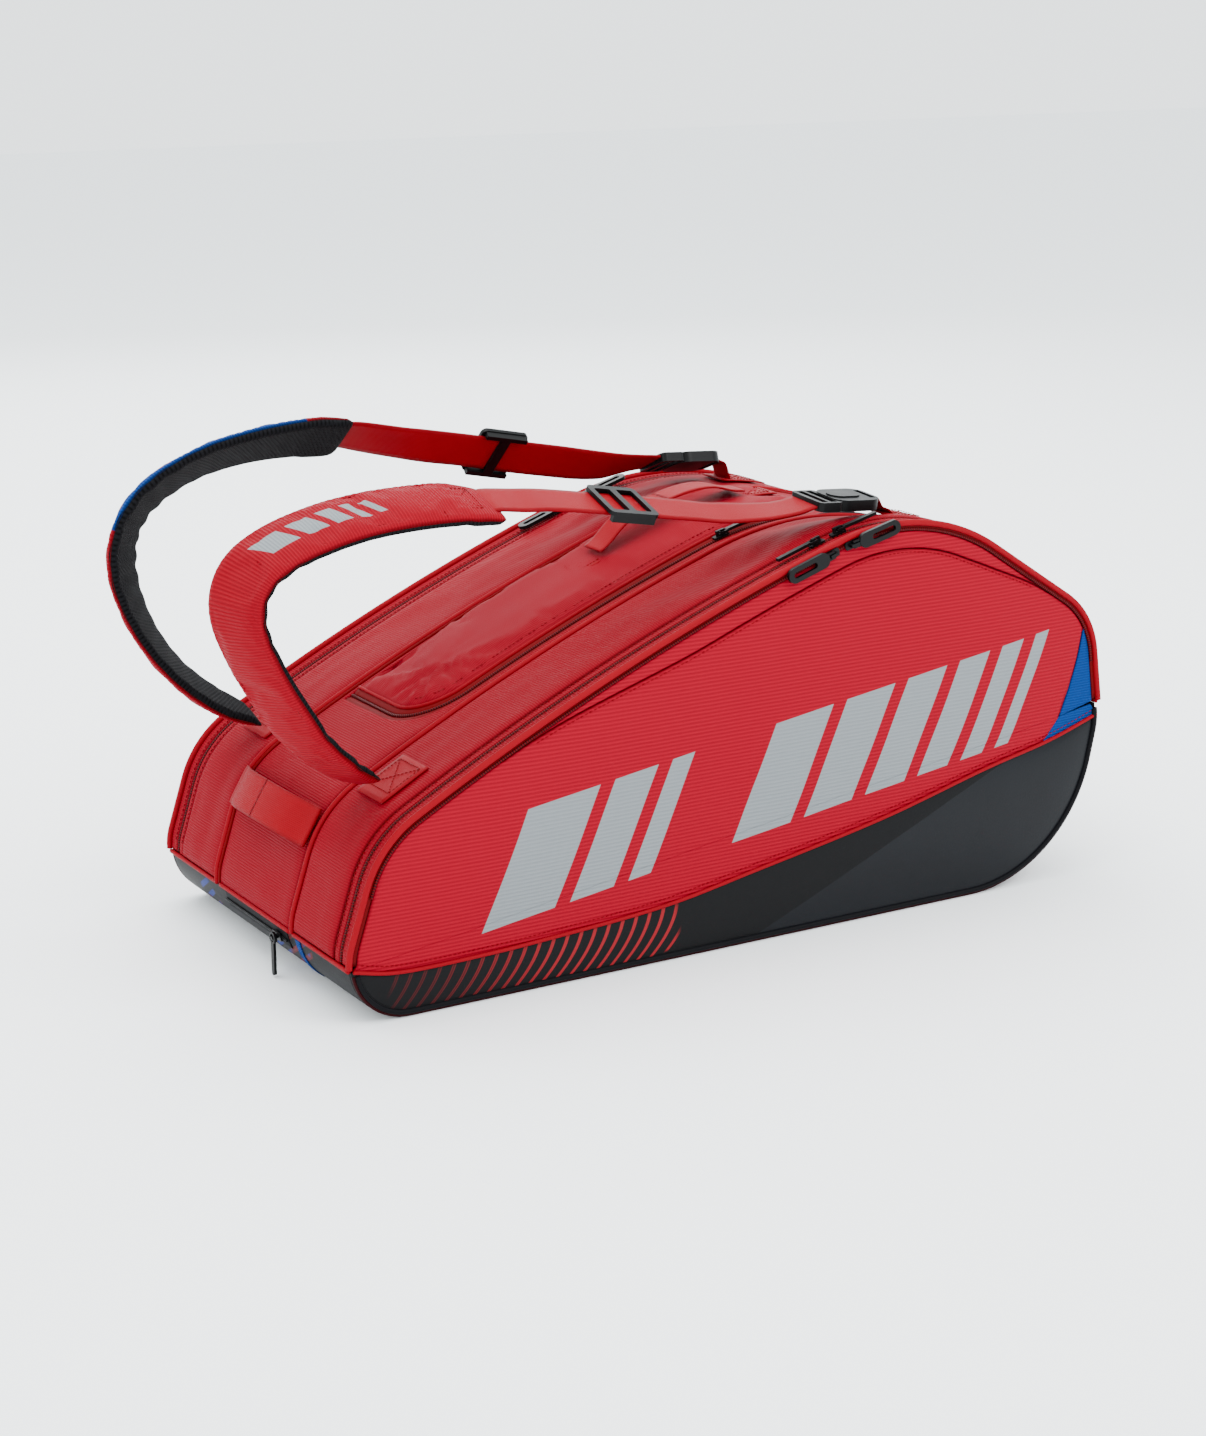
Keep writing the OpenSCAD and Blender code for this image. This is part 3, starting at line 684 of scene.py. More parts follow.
def settle(piece, pressure, cap, held, frames_run=14):
    """Cloth simulation with a little air inside, cut short.

    held gives 1 for points that stay put, and no point ends up further than cap mm from where it started.
    """
    scene = bpy.context.scene
    copy = bpy.data.objects.new(piece.name + "_settling", piece.data.copy())
    scene.collection.objects.link(copy)
    rest = np.zeros(len(copy.data.vertices) * 3, np.float32)
    copy.data.vertices.foreach_get("co", rest)
    rest = rest.reshape(-1, 3)
    pins = copy.vertex_groups.new(name="pins")
    for i, weight in enumerate(held(rest / MM)):
        pins.add([i], float(weight), "REPLACE")
    modifier = copy.modifiers.new("cloth", "CLOTH")
    settings = modifier.settings
    settings.quality = 6
    settings.mass = 0.3
    settings.tension_stiffness = settings.compression_stiffness = 20
    settings.shear_stiffness = 8
    settings.bending_stiffness = 1.5
    settings.use_pressure = True
    settings.uniform_pressure_force = pressure
    settings.shrink_min = -0.02
    settings.vertex_group_mass = "pins"
    settings.effector_weights.gravity = 0
    modifier.collision_settings.use_collision = False
    modifier.point_cache.frame_start, modifier.point_cache.frame_end = 1, frames_run
    for frame_number in range(1, frames_run + 1):
        scene.frame_set(frame_number)
    done = copy.evaluated_get(bpy.context.evaluated_depsgraph_get()).to_mesh()
    moved = np.zeros(len(done.vertices) * 3, np.float32)
    done.vertices.foreach_get("co", moved)
    move = moved.reshape(-1, 3) - rest
    far = np.linalg.norm(move, axis=1, keepdims=True)
    move *= np.minimum(1, cap * MM / np.maximum(far, 1e-9))
    if np.isfinite(move).all():
        piece.data.vertices.foreach_set("co", (rest + move).ravel())
        piece.data.update()
    scene.frame_set(1)
    old = copy.data
    bpy.data.objects.remove(copy)
    bpy.data.meshes.remove(old)


def pillow(e, r):
    return np.sqrt(np.clip(1 - (1 - np.clip(e / r, 0, 1)) ** 2, 0, 1))


def spread(a, b, step_size, r):
    """Samples from a to b, closer together within r of both ends."""
    near = np.array([0, 0.06, 0.2, 0.42, 0.7, 1.0]) * r
    inner = np.linspace(a + r, b - r, max(2, int(abs(b - a - 2 * r) / step_size) + 1))
    return np.concatenate([a + near[:-1], inner, (b - near[:-1])[::-1]])


def band(name, y0, y1, s0, s1, height, materials, body, slot, replaces=(), thick=2.6, ds=6.0, dy=6.0,
         radius=4.0, drop=2.0, seam_shade_width=1.6, ends=True, extra=None, turn_cloth=False, ride=True):
    """A pillowed strip along the wrap between two widths: its edges roll down by drop."""
    ys = spread(y0, y1, dy, radius)
    ss = spread(s0, s1, ds, radius) if ends else np.linspace(s0, s1, int((s1 - s0) / ds) + 2)
    grid_s, grid_y = np.meshgrid(ss, ys, indexing="ij")
    e = np.minimum(grid_y - y0, y1 - grid_y)
    if ends:
        e = np.minimum(e, np.minimum(grid_s - s0, s1 - grid_s))
    h = height - drop + drop * pillow(e, radius)
    if extra is not None:
        h = h + extra(grid_s, grid_y) * smooth(e / 14)
    outer, _ = surf(grid_s, grid_y, h)
    inner, _ = surf(grid_s, grid_y, np.minimum(h - 0.8, height - thick))
    # the weight of the shade painted along the strip's edges
    seam = 1 - smooth(e / seam_shade_width)
    cloth = np.stack([grid_y, grid_s] if turn_cloth else [grid_s, grid_y], -1)
    return sheet(name, outer, inner, cloth, seam, materials, body, replaces, ride=ride)


def frames(line):
    """Tangents and two side directions along a line of points, carried without twist."""
    line = np.asarray(line, float)
    t = unit_rows(np.gradient(line, axis=0))
    ref = np.array([0, 1.0, 0]) if abs(t[0][1]) < 0.8 else np.array([0, 0, 1.0])
    a = np.cross(t[0], ref)
    out = []
    for i in range(len(line)):
        a = a - t[i] * (a @ t[i])
        a /= np.linalg.norm(a)
        out.append((a.copy(), np.cross(t[i], a)))
    return t, np.array([o[0] for o in out]), np.array([o[1] for o in out])


def tube(name, line, radius, materials, body, slot, replaces=(), sides=10, seam=0.0, flat=1.0, ride=True):
    line = np.asarray(line, float)
    t, a, b = frames(line)
    angles = np.linspace(0, 2 * math.pi, sides, endpoint=False)
    radius = np.broadcast_to(np.asarray(radius, float), len(line))
    ring = (np.cos(angles)[None, :, None] * a[:, None, :] * flat + np.sin(angles)[None, :, None] * b[:, None, :])
    points = line[:, None, :] + ring * radius[:, None, None]
    n = len(line)
    tips = [line[0] - t[0] * radius[0] * 0.4, line[-1] + t[-1] * radius[-1] * 0.4]
    verts = np.concatenate([points.reshape(-1, 3), tips])
    faces = []
    for i in range(n - 1):
        for j in range(sides):
            k = (j + 1) % sides
            faces.append((i * sides + j, i * sides + k, (i + 1) * sides + k, (i + 1) * sides + j))
    for j in range(sides):
        k = (j + 1) % sides
        faces.append((n * sides, k, j))
        faces.append((n * sides + 1, (n - 1) * sides + j, (n - 1) * sides + k))
    run = run_along(line)
    cloth = np.stack(np.broadcast_arrays(run[:, None], (angles * radius.mean())[None, :]), -1).reshape(-1, 2)
    cloth = np.concatenate([cloth, [[0, 0], [run[-1], 0]]])
    return build(name, verts, faces, cloth, seam, materials, body, replaces, ride=ride)


def stitches(name, line, normals, body, slot, material, pitch=4.2, length=3.0, radius=0.42, ride=True):
    """A row of separate stitches lying on a line; normals lift each one slightly."""
    line = np.asarray(line, float)
    run = run_along(line)
    count = max(2, int(run[-1] / pitch))
    verts, faces, cloth = [], [], []
    for k in range(count):
        start = (k + 0.15) * run[-1] / count
        q = np.array([start, start + length / 2, start + length])
        p = np.stack([np.interp(q, run, line[:, i]) for i in range(3)], -1)
        up = np.array([np.interp(q[1], run, np.asarray(normals)[:, i]) for i in range(3)])
        along = p[2] - p[0]
        along /= np.linalg.norm(along)
        side = np.cross(along, up)
        side /= max(np.linalg.norm(side), 1e-6)
        base = len(verts)
        for centre, grow, rise in ((p[0], 0.45, -0.1), (p[1], 1.0, 0.3), (p[2], 0.45, -0.1)):
            for a in range(6):
                c, s = math.cos(a * math.pi / 3), math.sin(a * math.pi / 3)
                verts.append(centre + radius * grow * (c * side + s * up) + up * rise * radius)
                cloth.append((start, a))
        for i in range(2):
            for a in range(6):
                b = (a + 1) % 6
                faces.append((base + 6 * i + a, base + 6 * i + b, base + 6 * i + 6 + b, base + 6 * i + 6 + a))
        faces.append(tuple(base + a for a in reversed(range(6))))
        faces.append(tuple(base + 12 + a for a in range(6)))
    return build(name, np.array(verts), faces, cloth, 0.0, [material], body, ride=ride)


def stitch_wrap(name, y, s0, s1, h, body, slot="red_fabric", material=None, **more):
    ss = np.arange(s0, s1, 4.0)
    line, normals = surf(ss, np.full(len(ss), y), h)
    return stitches(name, line, normals, body, slot, material or stitch_red, **more)


# ---------------------------------------------------------------- stations and outlines
CROWN_END = LENGTHS[0][4]


def station_at(x, low=1):
    """The station on the top of the bag whose point has this x."""
    lo, hi = int(LENGTHS[0][2]), int(LENGTHS[0][7])
    return np.interp(x, TABLE[low][lo:hi, 0], TABLE_S[lo:hi])


def outline(s, low, inset):
    """Side-view points of the outline, moved inwards by inset."""
    x, z, a = (np.interp(s, TABLE_S, TABLE[low][:, i]) for i in range(3))
    a = np.radians(a)
    return np.stack([x + inset * np.sin(a), z - inset * np.cos(a)], -1)


def stations(s0, s1, step_size=7.0):
    return np.linspace(s0, s1, int(abs(s1 - s0) / step_size) + 2)


def side_bulge(points, low, amount=6.5, soft=1.3):
    """How far a side face stands out: it is drawn in at the zip and at the dark panel's seam, with soft dents."""
    to_top = distance_to(points, outline(stations(WALL_0 - 30, WALL_1 + 30), low, 0))
    to_seam = distance_to(points, BOUNDARY)
    deep = np.stack([points[:, 0], np.full(len(points), low * 80.0 - 40.0), points[:, 1]], -1)
    dents = soft * (ripple(deep, 150, 3.7) + 0.4 * ripple(deep, 52, 9.1)) * smooth(np.minimum(to_top, to_seam) / 30)
    return amount * (1 - np.exp(-to_top / 35)) * (1 - np.exp(-to_seam / 40)) + dents


def face(name, side, bottom, top, n, height, materials, body, replaces=(), bulge=side_bulge,
         thick=2.4, radius=4.0, drop=1.4, seam_shade_width=1.5, seams=None, ride=True):
    """A panel of a side face between two side-view lines, drawn in along its seams."""
    low = 1 if side > 0 else 0
    rows = spread(0, height, 9.0, radius) / height
    a, b = path(bottom, n), path(top, n)
    xz = rows_between(a, b, rows)
    flat = xz.reshape(-1, 2)
    seams = [np.vstack([a, b[::-1], a[:1]])] if seams is None else seams
    e = np.min([distance_to(flat, line) for line in seams], axis=0)
    h = bulge(flat, low) - drop + drop * pillow(e, radius)
    outer = np.stack([flat[:, 0], side * (HALF + h), flat[:, 1]], -1).reshape(xz.shape[:2] + (3,))
    inner = outer.copy()
    inner[..., 1] = side * (HALF - thick)
    # the weight of the shade painted along the panel's seams
    seam = (1 - smooth(e / seam_shade_width)).reshape(xz.shape[:2])
    cloth = np.stack([flat[:, 1], flat[:, 0]], -1)
    return sheet(name, outer, inner, cloth, seam, materials, body, replaces, ride=ride)


def wrap_tube(name, y, s0, s1, h, radius, materials, body, slot, replaces=(), **more):
    ss = stations(s0, s1, 5.0)
    line, _ = surf(ss, np.full(len(ss), y), h)
    return tube(name, line, radius, materials, body, slot, replaces, **more)


def wrinkle(strength, seed, place_s=None, width=60.0):
    """Soft unevenness, stronger round one station."""
    def extra(s, y):
        points = np.stack([s * 0.55, y * 1.6, np.zeros_like(s)], -1)
        amount = strength * 0.45
        if place_s is not None:
            amount = amount + strength * np.exp(-((s - place_s) / width) ** 2)
        return amount * (ripple(points, 46, seed) + 0.5 * ripple(points, 20, seed + 5))
    return extra


# ---------------------------------------------------------------- top: front compartment, middle, rear
def compartment(side, tag):
    """The strips of one outer compartment, from its side piping to the middle's piping."""
    def ys(a, b):
        return (-b, -a) if side < 0 else (a, b)
    low = 1 if side > 0 else 0
    wrap_tube(f"{tag}_lid_roll", side * 178, WALL_0 + 2, WALL_1 - 2, 1.3, 2.7, [piping_red], f"{tag}_lid",
              "red_piping", [f"{tag}_lid_piping"])
    band(f"{tag}_lid_strip", *ys(163.4, 176.2), WALL_0 + 2, WALL_1 - 2, 0.6, [shaded_top_red], f"{tag}_lid", "red_fabric",
         [f"{tag}_lid_edge"], thick=2.8, dy=3.5, radius=3.0, drop=1.8)
    wrap_tube(f"{tag}_zip_coil", side * 161.2, WALL_0 + 3, WALL_1 - 3, -0.7, 1.3, [coil_red], "shell", "zip_tape",
              sides=8)
    band(f"{tag}_zip_cover", *ys(150.6, 159.4), WALL_0 + 1, WALL_1 - 1, 0.5, [shaded_top_red], "shell", "red_fabric",
         thick=2.4, dy=3.0, radius=2.4, drop=1.8)
    gusset = band(f"{tag}_gusset_cloth", *ys(76.4, 149.8), WALL_0 + 2, WALL_1 - 2, 2.8, [shaded_top_red], "shell",
                  "red_fabric", [f"{tag}_gusset"], thick=6.6, radius=9.0, drop=3.4,
                  extra=wrinkle(1.5, 2.0 + side, CROWN_END - 60, 120))
    stitch_wrap(f"{tag}_lid_stitches", side * 165.6, WALL_0 + 12, WALL_1 - 12, 1.0, f"{tag}_lid")
    stitch_wrap(f"{tag}_cover_stitches", side * 152.8, WALL_0 + 12, WALL_1 - 12, 0.95, "shell")


compartment(-1, "front")
compartment(1, "rear")
for side, tag in ((-1, "front"), (1, "rear")):
    ys = (-163.2, -150.4) if side < 0 else (150.4, 163.2)
    band(f"{tag}_zip_tape", *ys, WALL_0 + 1, WALL_1 - 1, -1.6, [tape_red], "shell", "zip_tape",
         ["zip_tapes"] if side < 0 else (), thick=1.0, dy=4.0, radius=1.5, drop=0.3)
    wrap_tube(f"{tag}_middle_roll", side * 74.6, WALL_0 + 1, WALL_1 - 1, 1.6, 2.4, [piping_red], "shell",
              "red_piping", ["middle_piping"] if side < 0 else ())
    wrap_tube(f"{tag}_middle_roll_inner", side * 71.0, WALL_0 + 1, WALL_1 - 1, 0.6, 1.5, [tape_red], "shell",
              "red_piping")

FLAP_X0, FLAP_X1, FLAP_Y0, FLAP_Y1, FLAP_R, FRAME_GAP = -242.0, 150.0, -50.0, 62.0, 42.0, 14.0


def flap_line(grow, n_corner=14, n_side=60):
    """Plan points along the flap's three zipped sides, grown outwards: hinge end, near side, hinge end."""
    r = FLAP_R + grow
    xa, xb = FLAP_X0 + FLAP_R, FLAP_X1 - FLAP_R
    yc = FLAP_Y0 + FLAP_R
    points = [(FLAP_X0 - grow, y) for y in np.linspace(FLAP_Y1, yc, 14, endpoint=False)]
    points += [(xa - r * math.cos(t), yc - r * math.sin(t)) for t in np.linspace(0, math.pi / 2, n_corner)[:-1]]
    points += [(x, FLAP_Y0 - grow) for x in np.linspace(xa, xb, n_side)]
    points += [(xb + r * math.sin(t), yc - r * math.cos(t)) for t in np.linspace(0, math.pi / 2, n_corner)[1:]]
    points += [(FLAP_X1 + grow, y) for y in np.linspace(yc, FLAP_Y1, 14)[1:]]
    return np.array(points)


def on_top(plan, h):
    """Points on the wrap above plan points (x, y)."""
    points, normals = surf(station_at(plan[..., 0]), plan[..., 1], h)
    return points, normals


def near_edge(x, grow):
    """The y of the zipped near side at x, between the two ends."""
    r = FLAP_R + grow
    a, b = FLAP_X0 + FLAP_R, FLAP_X1 - FLAP_R
    d = np.clip(np.maximum(a - x, x - b), 0, r)
    return FLAP_Y0 + FLAP_R - np.sqrt(np.maximum(r * r - d * d, 0))


def end_spread(x0, x1, r, step_size=6.0):
    """x samples from x0 to x1 that bunch up towards both rounded corners."""
    t = 1 - np.cos(np.linspace(0, math.pi / 2, 13))
    return np.concatenate([x0 + r * t[:-1], np.linspace(x0 + r, x1 - r, int((x1 - x0 - 2 * r) / step_size)),
                           (x1 - r * t[:-1])[::-1]])


# the middle panel, with the opening under the flap
hole = end_spread(FLAP_X0 - FRAME_GAP, FLAP_X1 + FRAME_GAP, FLAP_R + FRAME_GAP)
hole_s = station_at(hole)
before = spread(WALL_0 + 1, hole_s[0], 7.0, 4.0)
after = spread(hole_s[-1], WALL_1 - 1, 7.0, 4.0)
mid_s = np.concatenate([before[:-1], hole_s, after[1:]])
inside = (mid_s >= hole_s[0] - 0.01) & (mid_s <= hole_s[-1] + 0.01)
low_y = np.where(mid_s < hole_s[0], near_edge(hole[0], FRAME_GAP), near_edge(hole[-1], FRAME_GAP))
low_y[inside] = near_edge(hole, FRAME_GAP)
columns = []
for s, edge in zip(mid_s, low_y):
    columns.append(np.concatenate([
        -69.6 + (edge + 69.6) * np.array([0, 0.08, 0.25, 0.5, 0.75, 0.9]),
        np.linspace(edge, FLAP_Y1 + 1, 16), [65.0, 68.0, 69.6]
    ]))
grid_y = np.array(columns)
grid_s = np.broadcast_to(mid_s[:, None], grid_y.shape)
edge_near = np.minimum(grid_y + 69.6, 69.6 - grid_y)
e = np.minimum(edge_near, np.minimum(grid_s - WALL_0 - 1, WALL_1 - 1 - grid_s))
h = 1.2 - 2.0 + 2.0 * pillow(e, 4.0)
h = h + 1.3 * ripple(np.stack([grid_s, grid_y, grid_y * 0], -1), 60, 7.0) * smooth(e / 18)
outer, _ = surf(grid_s, grid_y, h)
inner, _ = surf(grid_s, grid_y, -3.0)
keep = np.ones((len(mid_s) - 1, grid_y.shape[1] - 1), bool)
centre_s = (mid_s[1:] + mid_s[:-1]) / 2
gone = (centre_s > hole_s[0]) & (centre_s < hole_s[-1])
keep[np.ix_(gone, np.arange(6, 21))] = False
# 1 - smooth(e / 1.6) weights the shade painted along the panel's edges
middle_cloth = sheet("middle_cloth", outer, inner, np.stack([grid_s, grid_y], -1), 1 - smooth(e / 1.6), [shaded_top_red],
                     "shell", ["middle_panel"], keep=keep)


def plan_strip(name, grow_out, grow_in, h_out, h_in, materials, body, replaces=(), thick=1.4):
    """A strip that runs round the flap's zipped sides."""
    a, b = flap_line(grow_out), flap_line(grow_in)
    t = np.linspace(0, 1, 6)
    plan = rows_between(a, b, t)
    h = h_out * (1 - t) + h_in * t + 0.7 * np.sin(math.pi * t)
    outer, _ = on_top(plan, h[None, :])
    inner, _ = on_top(plan, h[None, :] - thick)
    run = run_along(a)
    cloth = np.stack(np.broadcast_arrays(run[:, None], (t * 8)[None, :]), -1)
    return sheet(name, outer, inner, cloth, 0.25, materials, body, replaces)


plan_strip("flap_frame_cloth", 14.6, 8.0, 0.4, -0.6, [tape_red], "shell", ["flap_frame_tape"])
coil_line, _ = on_top(flap_line(7.2), 0.1)
tube("flap_zip_coil", coil_line, 1.3, [coil_red], "shell", "zip_tape", sides=8)
plan_strip("flap_tape_cloth", 5.8, -1.0, 0.1, 1.6, [tape_red], "flap", ["flap_tape"])


def surface_height(p):
    """How far points near the bag's top stand above its outline, in mm."""
    base, normals = surf(station_at(p[:, 0]), p[:, 1], 0)
    return np.sum((p - base) * normals, axis=1)


# the flap: a soft lid with a rolled edge
flap_x = end_spread(FLAP_X0, FLAP_X1, FLAP_R, 5.0)
flap_rows = np.concatenate([[0, 0.012, 0.035, 0.07, 0.11, 0.16], np.linspace(0.22, 0.9, 15), [0.95, 0.98, 1.0]])
low_edge = near_edge(flap_x, 0)
plan_y = low_edge[:, None] + (FLAP_Y1 - low_edge)[:, None] * flap_rows[None, :]
plan_x = np.broadcast_to(flap_x[:, None], plan_y.shape)
plan = np.stack([plan_x, plan_y], -1)
e = distance_to(plan.reshape(-1, 2), flap_line(0)).reshape(plan_y.shape)
hinge_side = FLAP_Y1 - plan_y
h = 1.4 + 6.6 * pillow(e, 17) * (0.15 + 0.85 * smooth(hinge_side / 16))
corner = np.exp(-(((plan_x + 214) / 46) ** 2 + ((plan_y + 26) / 34) ** 2))
turn = np.arctan2(plan_y + 8, plan_x + 200)
uneven = 0.9 * ripple(np.stack([plan_x, plan_y * 1.4, plan_x * 0], -1), 52, 4.2)
h = h + smooth(e / 8) * (1.5 * corner * np.sin(turn * 13) + uneven)
outer, _ = on_top(plan, h)
inner, _ = on_top(plan, -3.0)
# 1 - smooth(e / 1.8) weights the shade painted along the flap's edges
flap_cloth = sheet("flap_cloth", outer, inner, np.stack([plan_y, plan_x], -1), 1 - smooth(e / 1.8), [flap_red],
                   "flap", ["flap_panel"])
settle(flap_cloth, 1.2, 3.0, lambda p: np.clip(1 - (distance_to(p[:, :2], flap_line(0)) - 2) / 12, 0, 1)
       + (surface_height(p) < 0.0))
roll_line, _ = on_top(flap_line(-0.6), 2.3)
tube("flap_roll", roll_line, 1.7, [piping_red], "flap", "red_piping")
stitch_line, stitch_up = on_top(flap_line(-6.5), 1.4 + 6.6 * float(pillow(np.array(6.5), 17)) + 0.2)
stitches("flap_stitches", stitch_line[16:-16], stitch_up[16:-16], "flap", "red_fabric", stitch_red)

# ---------------------------------------------------------------- the two side faces
A, B = HINGE_A, HINGE_B


def hinge_line(t0, t1, lift=0.0, n=40):
    t = np.linspace(t0, t1, n)[:, None]
    up = np.array([-(B - A)[1], (B - A)[0]]) / np.linalg.norm(B - A)
    return A + (B - A) * t + up * lift


T_CORNER = (321.0 - A[0]) / (B[0] - A[0])
top_s = stations(WALL_0 + 3, WALL_1 - 3, 4.0)
BAND_0, BAND_1 = 292.0, 884.0


def band_depth(s):
    return 5.6 + 14.5 * smooth((s - BAND_0) / 210) * smooth((BAND_1 - s) / 110)


corner_top_s = float(np.interp(-226.0, -TABLE[0][int(LENGTHS[0][6]):int(LENGTHS[0][8]), 1],
                               TABLE_S[int(LENGTHS[0][6]):int(LENGTHS[0][8])]))
main_s = stations(WALL_0 + 3, corner_top_s, 4.0)
main_top = np.array([outline(s, 0, float(band_depth(s)) + (0.5 if BAND_0 < s < BAND_1 else 0)) for s in main_s])
main_bottom = np.vstack([hinge_line(0.004, T_CORNER, 0.2, 60), CORNER[2:]])
pocket_cloth = face("pocket_cloth", -1, main_bottom, main_top, 210, 220.0, [side_red, lining], "front_pocket",
                    ["front_pocket_panel"], seams=[main_top, CORNER[1:]])
band_s = stations(BAND_0, BAND_1, 4.0)
band_low = np.array([outline(s, 0, float(band_depth(s))) for s in band_s])
face("pocket_band_cloth", -1, band_low, outline(band_s, 0, 5.4), 160, 14.0, [side_red, lining], "front_pocket",
     radius=4.0, drop=1.7)
corner_left = np.vstack([hinge_line(T_CORNER, T_CORNER, 0.2, 1), CORNER[3:]]) + np.array([0.8, 0.0])
corner_right = outline(np.linspace(WALL_1 - 3, corner_top_s, 30), 0, 5.6)
face("corner_cloth", -1, corner_left, corner_right, 30, 34.0, [corner_blue, lining], "front_pocket",
     ["corner_panel"], radius=2.5, drop=1.0, seams=[CORNER[1:], corner_right])


def boundary_line(x0, x1, lift=0.0, n=90):
    x = np.linspace(x0, x1, n)
    z = path(BOUNDARY, 300)
    return np.stack([x, np.interp(x, z[:, 0], z[:, 1]) + lift], -1)


def lower_bulge(points, low):
    under = outline(stations(WALL_1, GIRTH + WALL_0, 9.0), low, 0)
    return 3.0 * (1 - np.exp(-distance_to(points, BOUNDARY) / 15)) * (1 - np.exp(-distance_to(points, under) / 15))


head_s = float(np.interp(-146.0, -TABLE[0][int(LENGTHS[0][7]):int(LENGTHS[0][10]), 1],
                         TABLE_S[int(LENGTHS[0][7]):int(LENGTHS[0][10])]))
under = outline(stations(GIRTH + WALL_0 - 2, head_s + 2, 4.0), 0, 0.4)
strip_split = 304.0
for side, tag in ((-1, "front"), (1, "rear")):
    red_low = boundary_line(A[0] + 2, strip_split, 0.5)
    blue = side < 0
    red_top = hinge_line(0.004, T_CORNER if blue else 0.99, -0.15, 90)
    if not blue:
        red_low = boundary_line(A[0] + 2, B[0] - 1, 0.5)
    face(f"{tag}_strip_cloth", side, red_low, red_top, 130, 60.0, [side_red if blue else shaded_top_red, lining], "shell",
         ["side_strips"] if blue else (), radius=2.5, drop=0.8,
         seams=[red_low] + ([CORNER[1:3]] if blue else []))
    face(f"{tag}_lower_cloth", side, under, boundary_line(A[0] + 1, B[0] - 0.5, -0.5), 230, 70.0,
         [lower_dark, lining], "shell", [f"{tag}_lower_panel"], bulge=lower_bulge, radius=3.0,
         drop=1.2)
    edge = boundary_line(A[0] + 2, B[0] - 1, 0.2, 160)
    y = side * (HALF + 0.9)
    tube(f"{tag}_boundary_roll", np.stack([edge[:, 0], np.full(len(edge), y), edge[:, 1]], -1), 1.7, [piping_red],
         "shell", "red_piping", sides=8)
    raised = boundary_line(A[0] + 8, B[0] - 6, 6.0, 160)
    lift = side_bulge(raised, 0) * side + side * (HALF + 0.3)
    stitches(f"{tag}_boundary_stitches", np.stack([raised[:, 0], lift, raised[:, 1]], -1),
             np.tile([0, side, 0], (160, 1)), "shell", "red_fabric", stitch_red)
    rolls = ((179.0, -4.6, 2.2, piping_black), (177.4, -1.7, 1.6, binding_dark))
    for k, (y_roll, h_roll, r_roll, paint) in enumerate(rolls):
        wrap_tube(f"{tag}_base_roll_{k}", side * y_roll, WALL_1 + 5, GIRTH + WALL_0 - 5, h_roll, r_roll, [paint],
                  "shell", "binding", ["base_binding"] if k == 0 and blue else ())
face("corner_strip_cloth", -1, boundary_line(strip_split + 1, B[0] - 1, 0.6, 20),
     hinge_line(T_CORNER + 0.001, 0.99, -0.15, 20), 30, 24.0, [corner_blue, lining], "shell", radius=2.0, drop=0.8,
     seams=[BOUNDARY, CORNER[1:3]])
rear_top = outline(top_s, 1, 5.4)
rear_cloth = face("rear_lid_cloth", 1, hinge_line(0.004, 0.996, 0.2, 80), rear_top, 200, 220.0, [shaded_top_red, lining],
                  "rear_lid", ["rear_lid_panel"], seams=[rear_top])
for side, tag in ((-1, "front"), (1, "rear")):
    along_zip = stations(WALL_0 + 4, WALL_1 - 4, 5.0)
    face(f"{tag}_lid_face_strip", side, outline(along_zip, max(side, 0), 5.1), outline(along_zip, max(side, 0), 0.6),
         220, 4.5, [tape_red], f"{tag}_lid",
         bulge=lambda points, low: np.zeros(len(points)), thick=1.8, radius=0.8, drop=0.4)
coil = outline(stations(WALL_0 + 60, WALL_1 - 40, 5.0), 0, 4.2)
tube("pocket_coil", np.stack([coil[:, 0], np.full(len(coil), -HALF - 0.6), coil[:, 1]], -1), 1.2, [coil_red],
     "front_lid", "zip_tape", sides=8)
seam_s = stations(BAND_0 + 30, BAND_1 - 20, 4.0)
seam_line = np.array([outline(s, 0, float(band_depth(s)) + 3.0) for s in seam_s])
seam_y = -HALF - side_bulge(seam_line, 0) - 0.2
stitches("pocket_seam_stitches", np.stack([seam_line[:, 0], seam_y, seam_line[:, 1]], -1),
         np.tile([0, -1, 0], (len(seam_s), 1)), "front_pocket", "red_fabric", stitch_red)

# ---------------------------------------------------------------- base, ends and inside
band("base_cloth", -176, 176, WALL_1 + 0.8, GIRTH + WALL_0 - 0.8, 0.0, [base_dark, lining], "shell",
     "dark_panel", ["base_panel"], thick=3.0, ds=7.0, dy=12.0, radius=3.0, drop=1.4)
band("blue_heel_strip", -86, -76, GIRTH + WALL_0 - 44, GIRTH + WALL_0 - 3, 0.9, [pad_blue], "shell", "blue_fabric",
     thick=1.6, ds=4.0, dy=3.0, radius=1.6, drop=0.8)
band("end_zip_cloth", -62, 62, GIRTH + 64 - 8, GIRTH + 64 + 8, 0.9, [tape_black], "shell", "dark_tape",
     ["end_zip_tape"], thick=1.6, ds=3.0, radius=2.0, drop=0.7)
end_coil_y = np.linspace(-60, 60, 40)
end_coil, _ = surf(np.full(40, 64.0), end_coil_y, 1.3)
tube("end_zip_coil", end_coil, 1.4, [coil_black], "shell", "dark_tape", sides=8)
for s, tag in ((WALL_0, "handle_end"), (WALL_1, "head_end")):
    for y0, y1 in ((-176, -76), (-69, 69), (76, 176)):
        line, _ = surf(np.full(30, s), np.linspace(y0, y1, 30), 1.0)
        tube(f"{tag}_roll_{y0 + 200}", line, 1.9, [piping_red], "shell", "red_piping", sides=8)


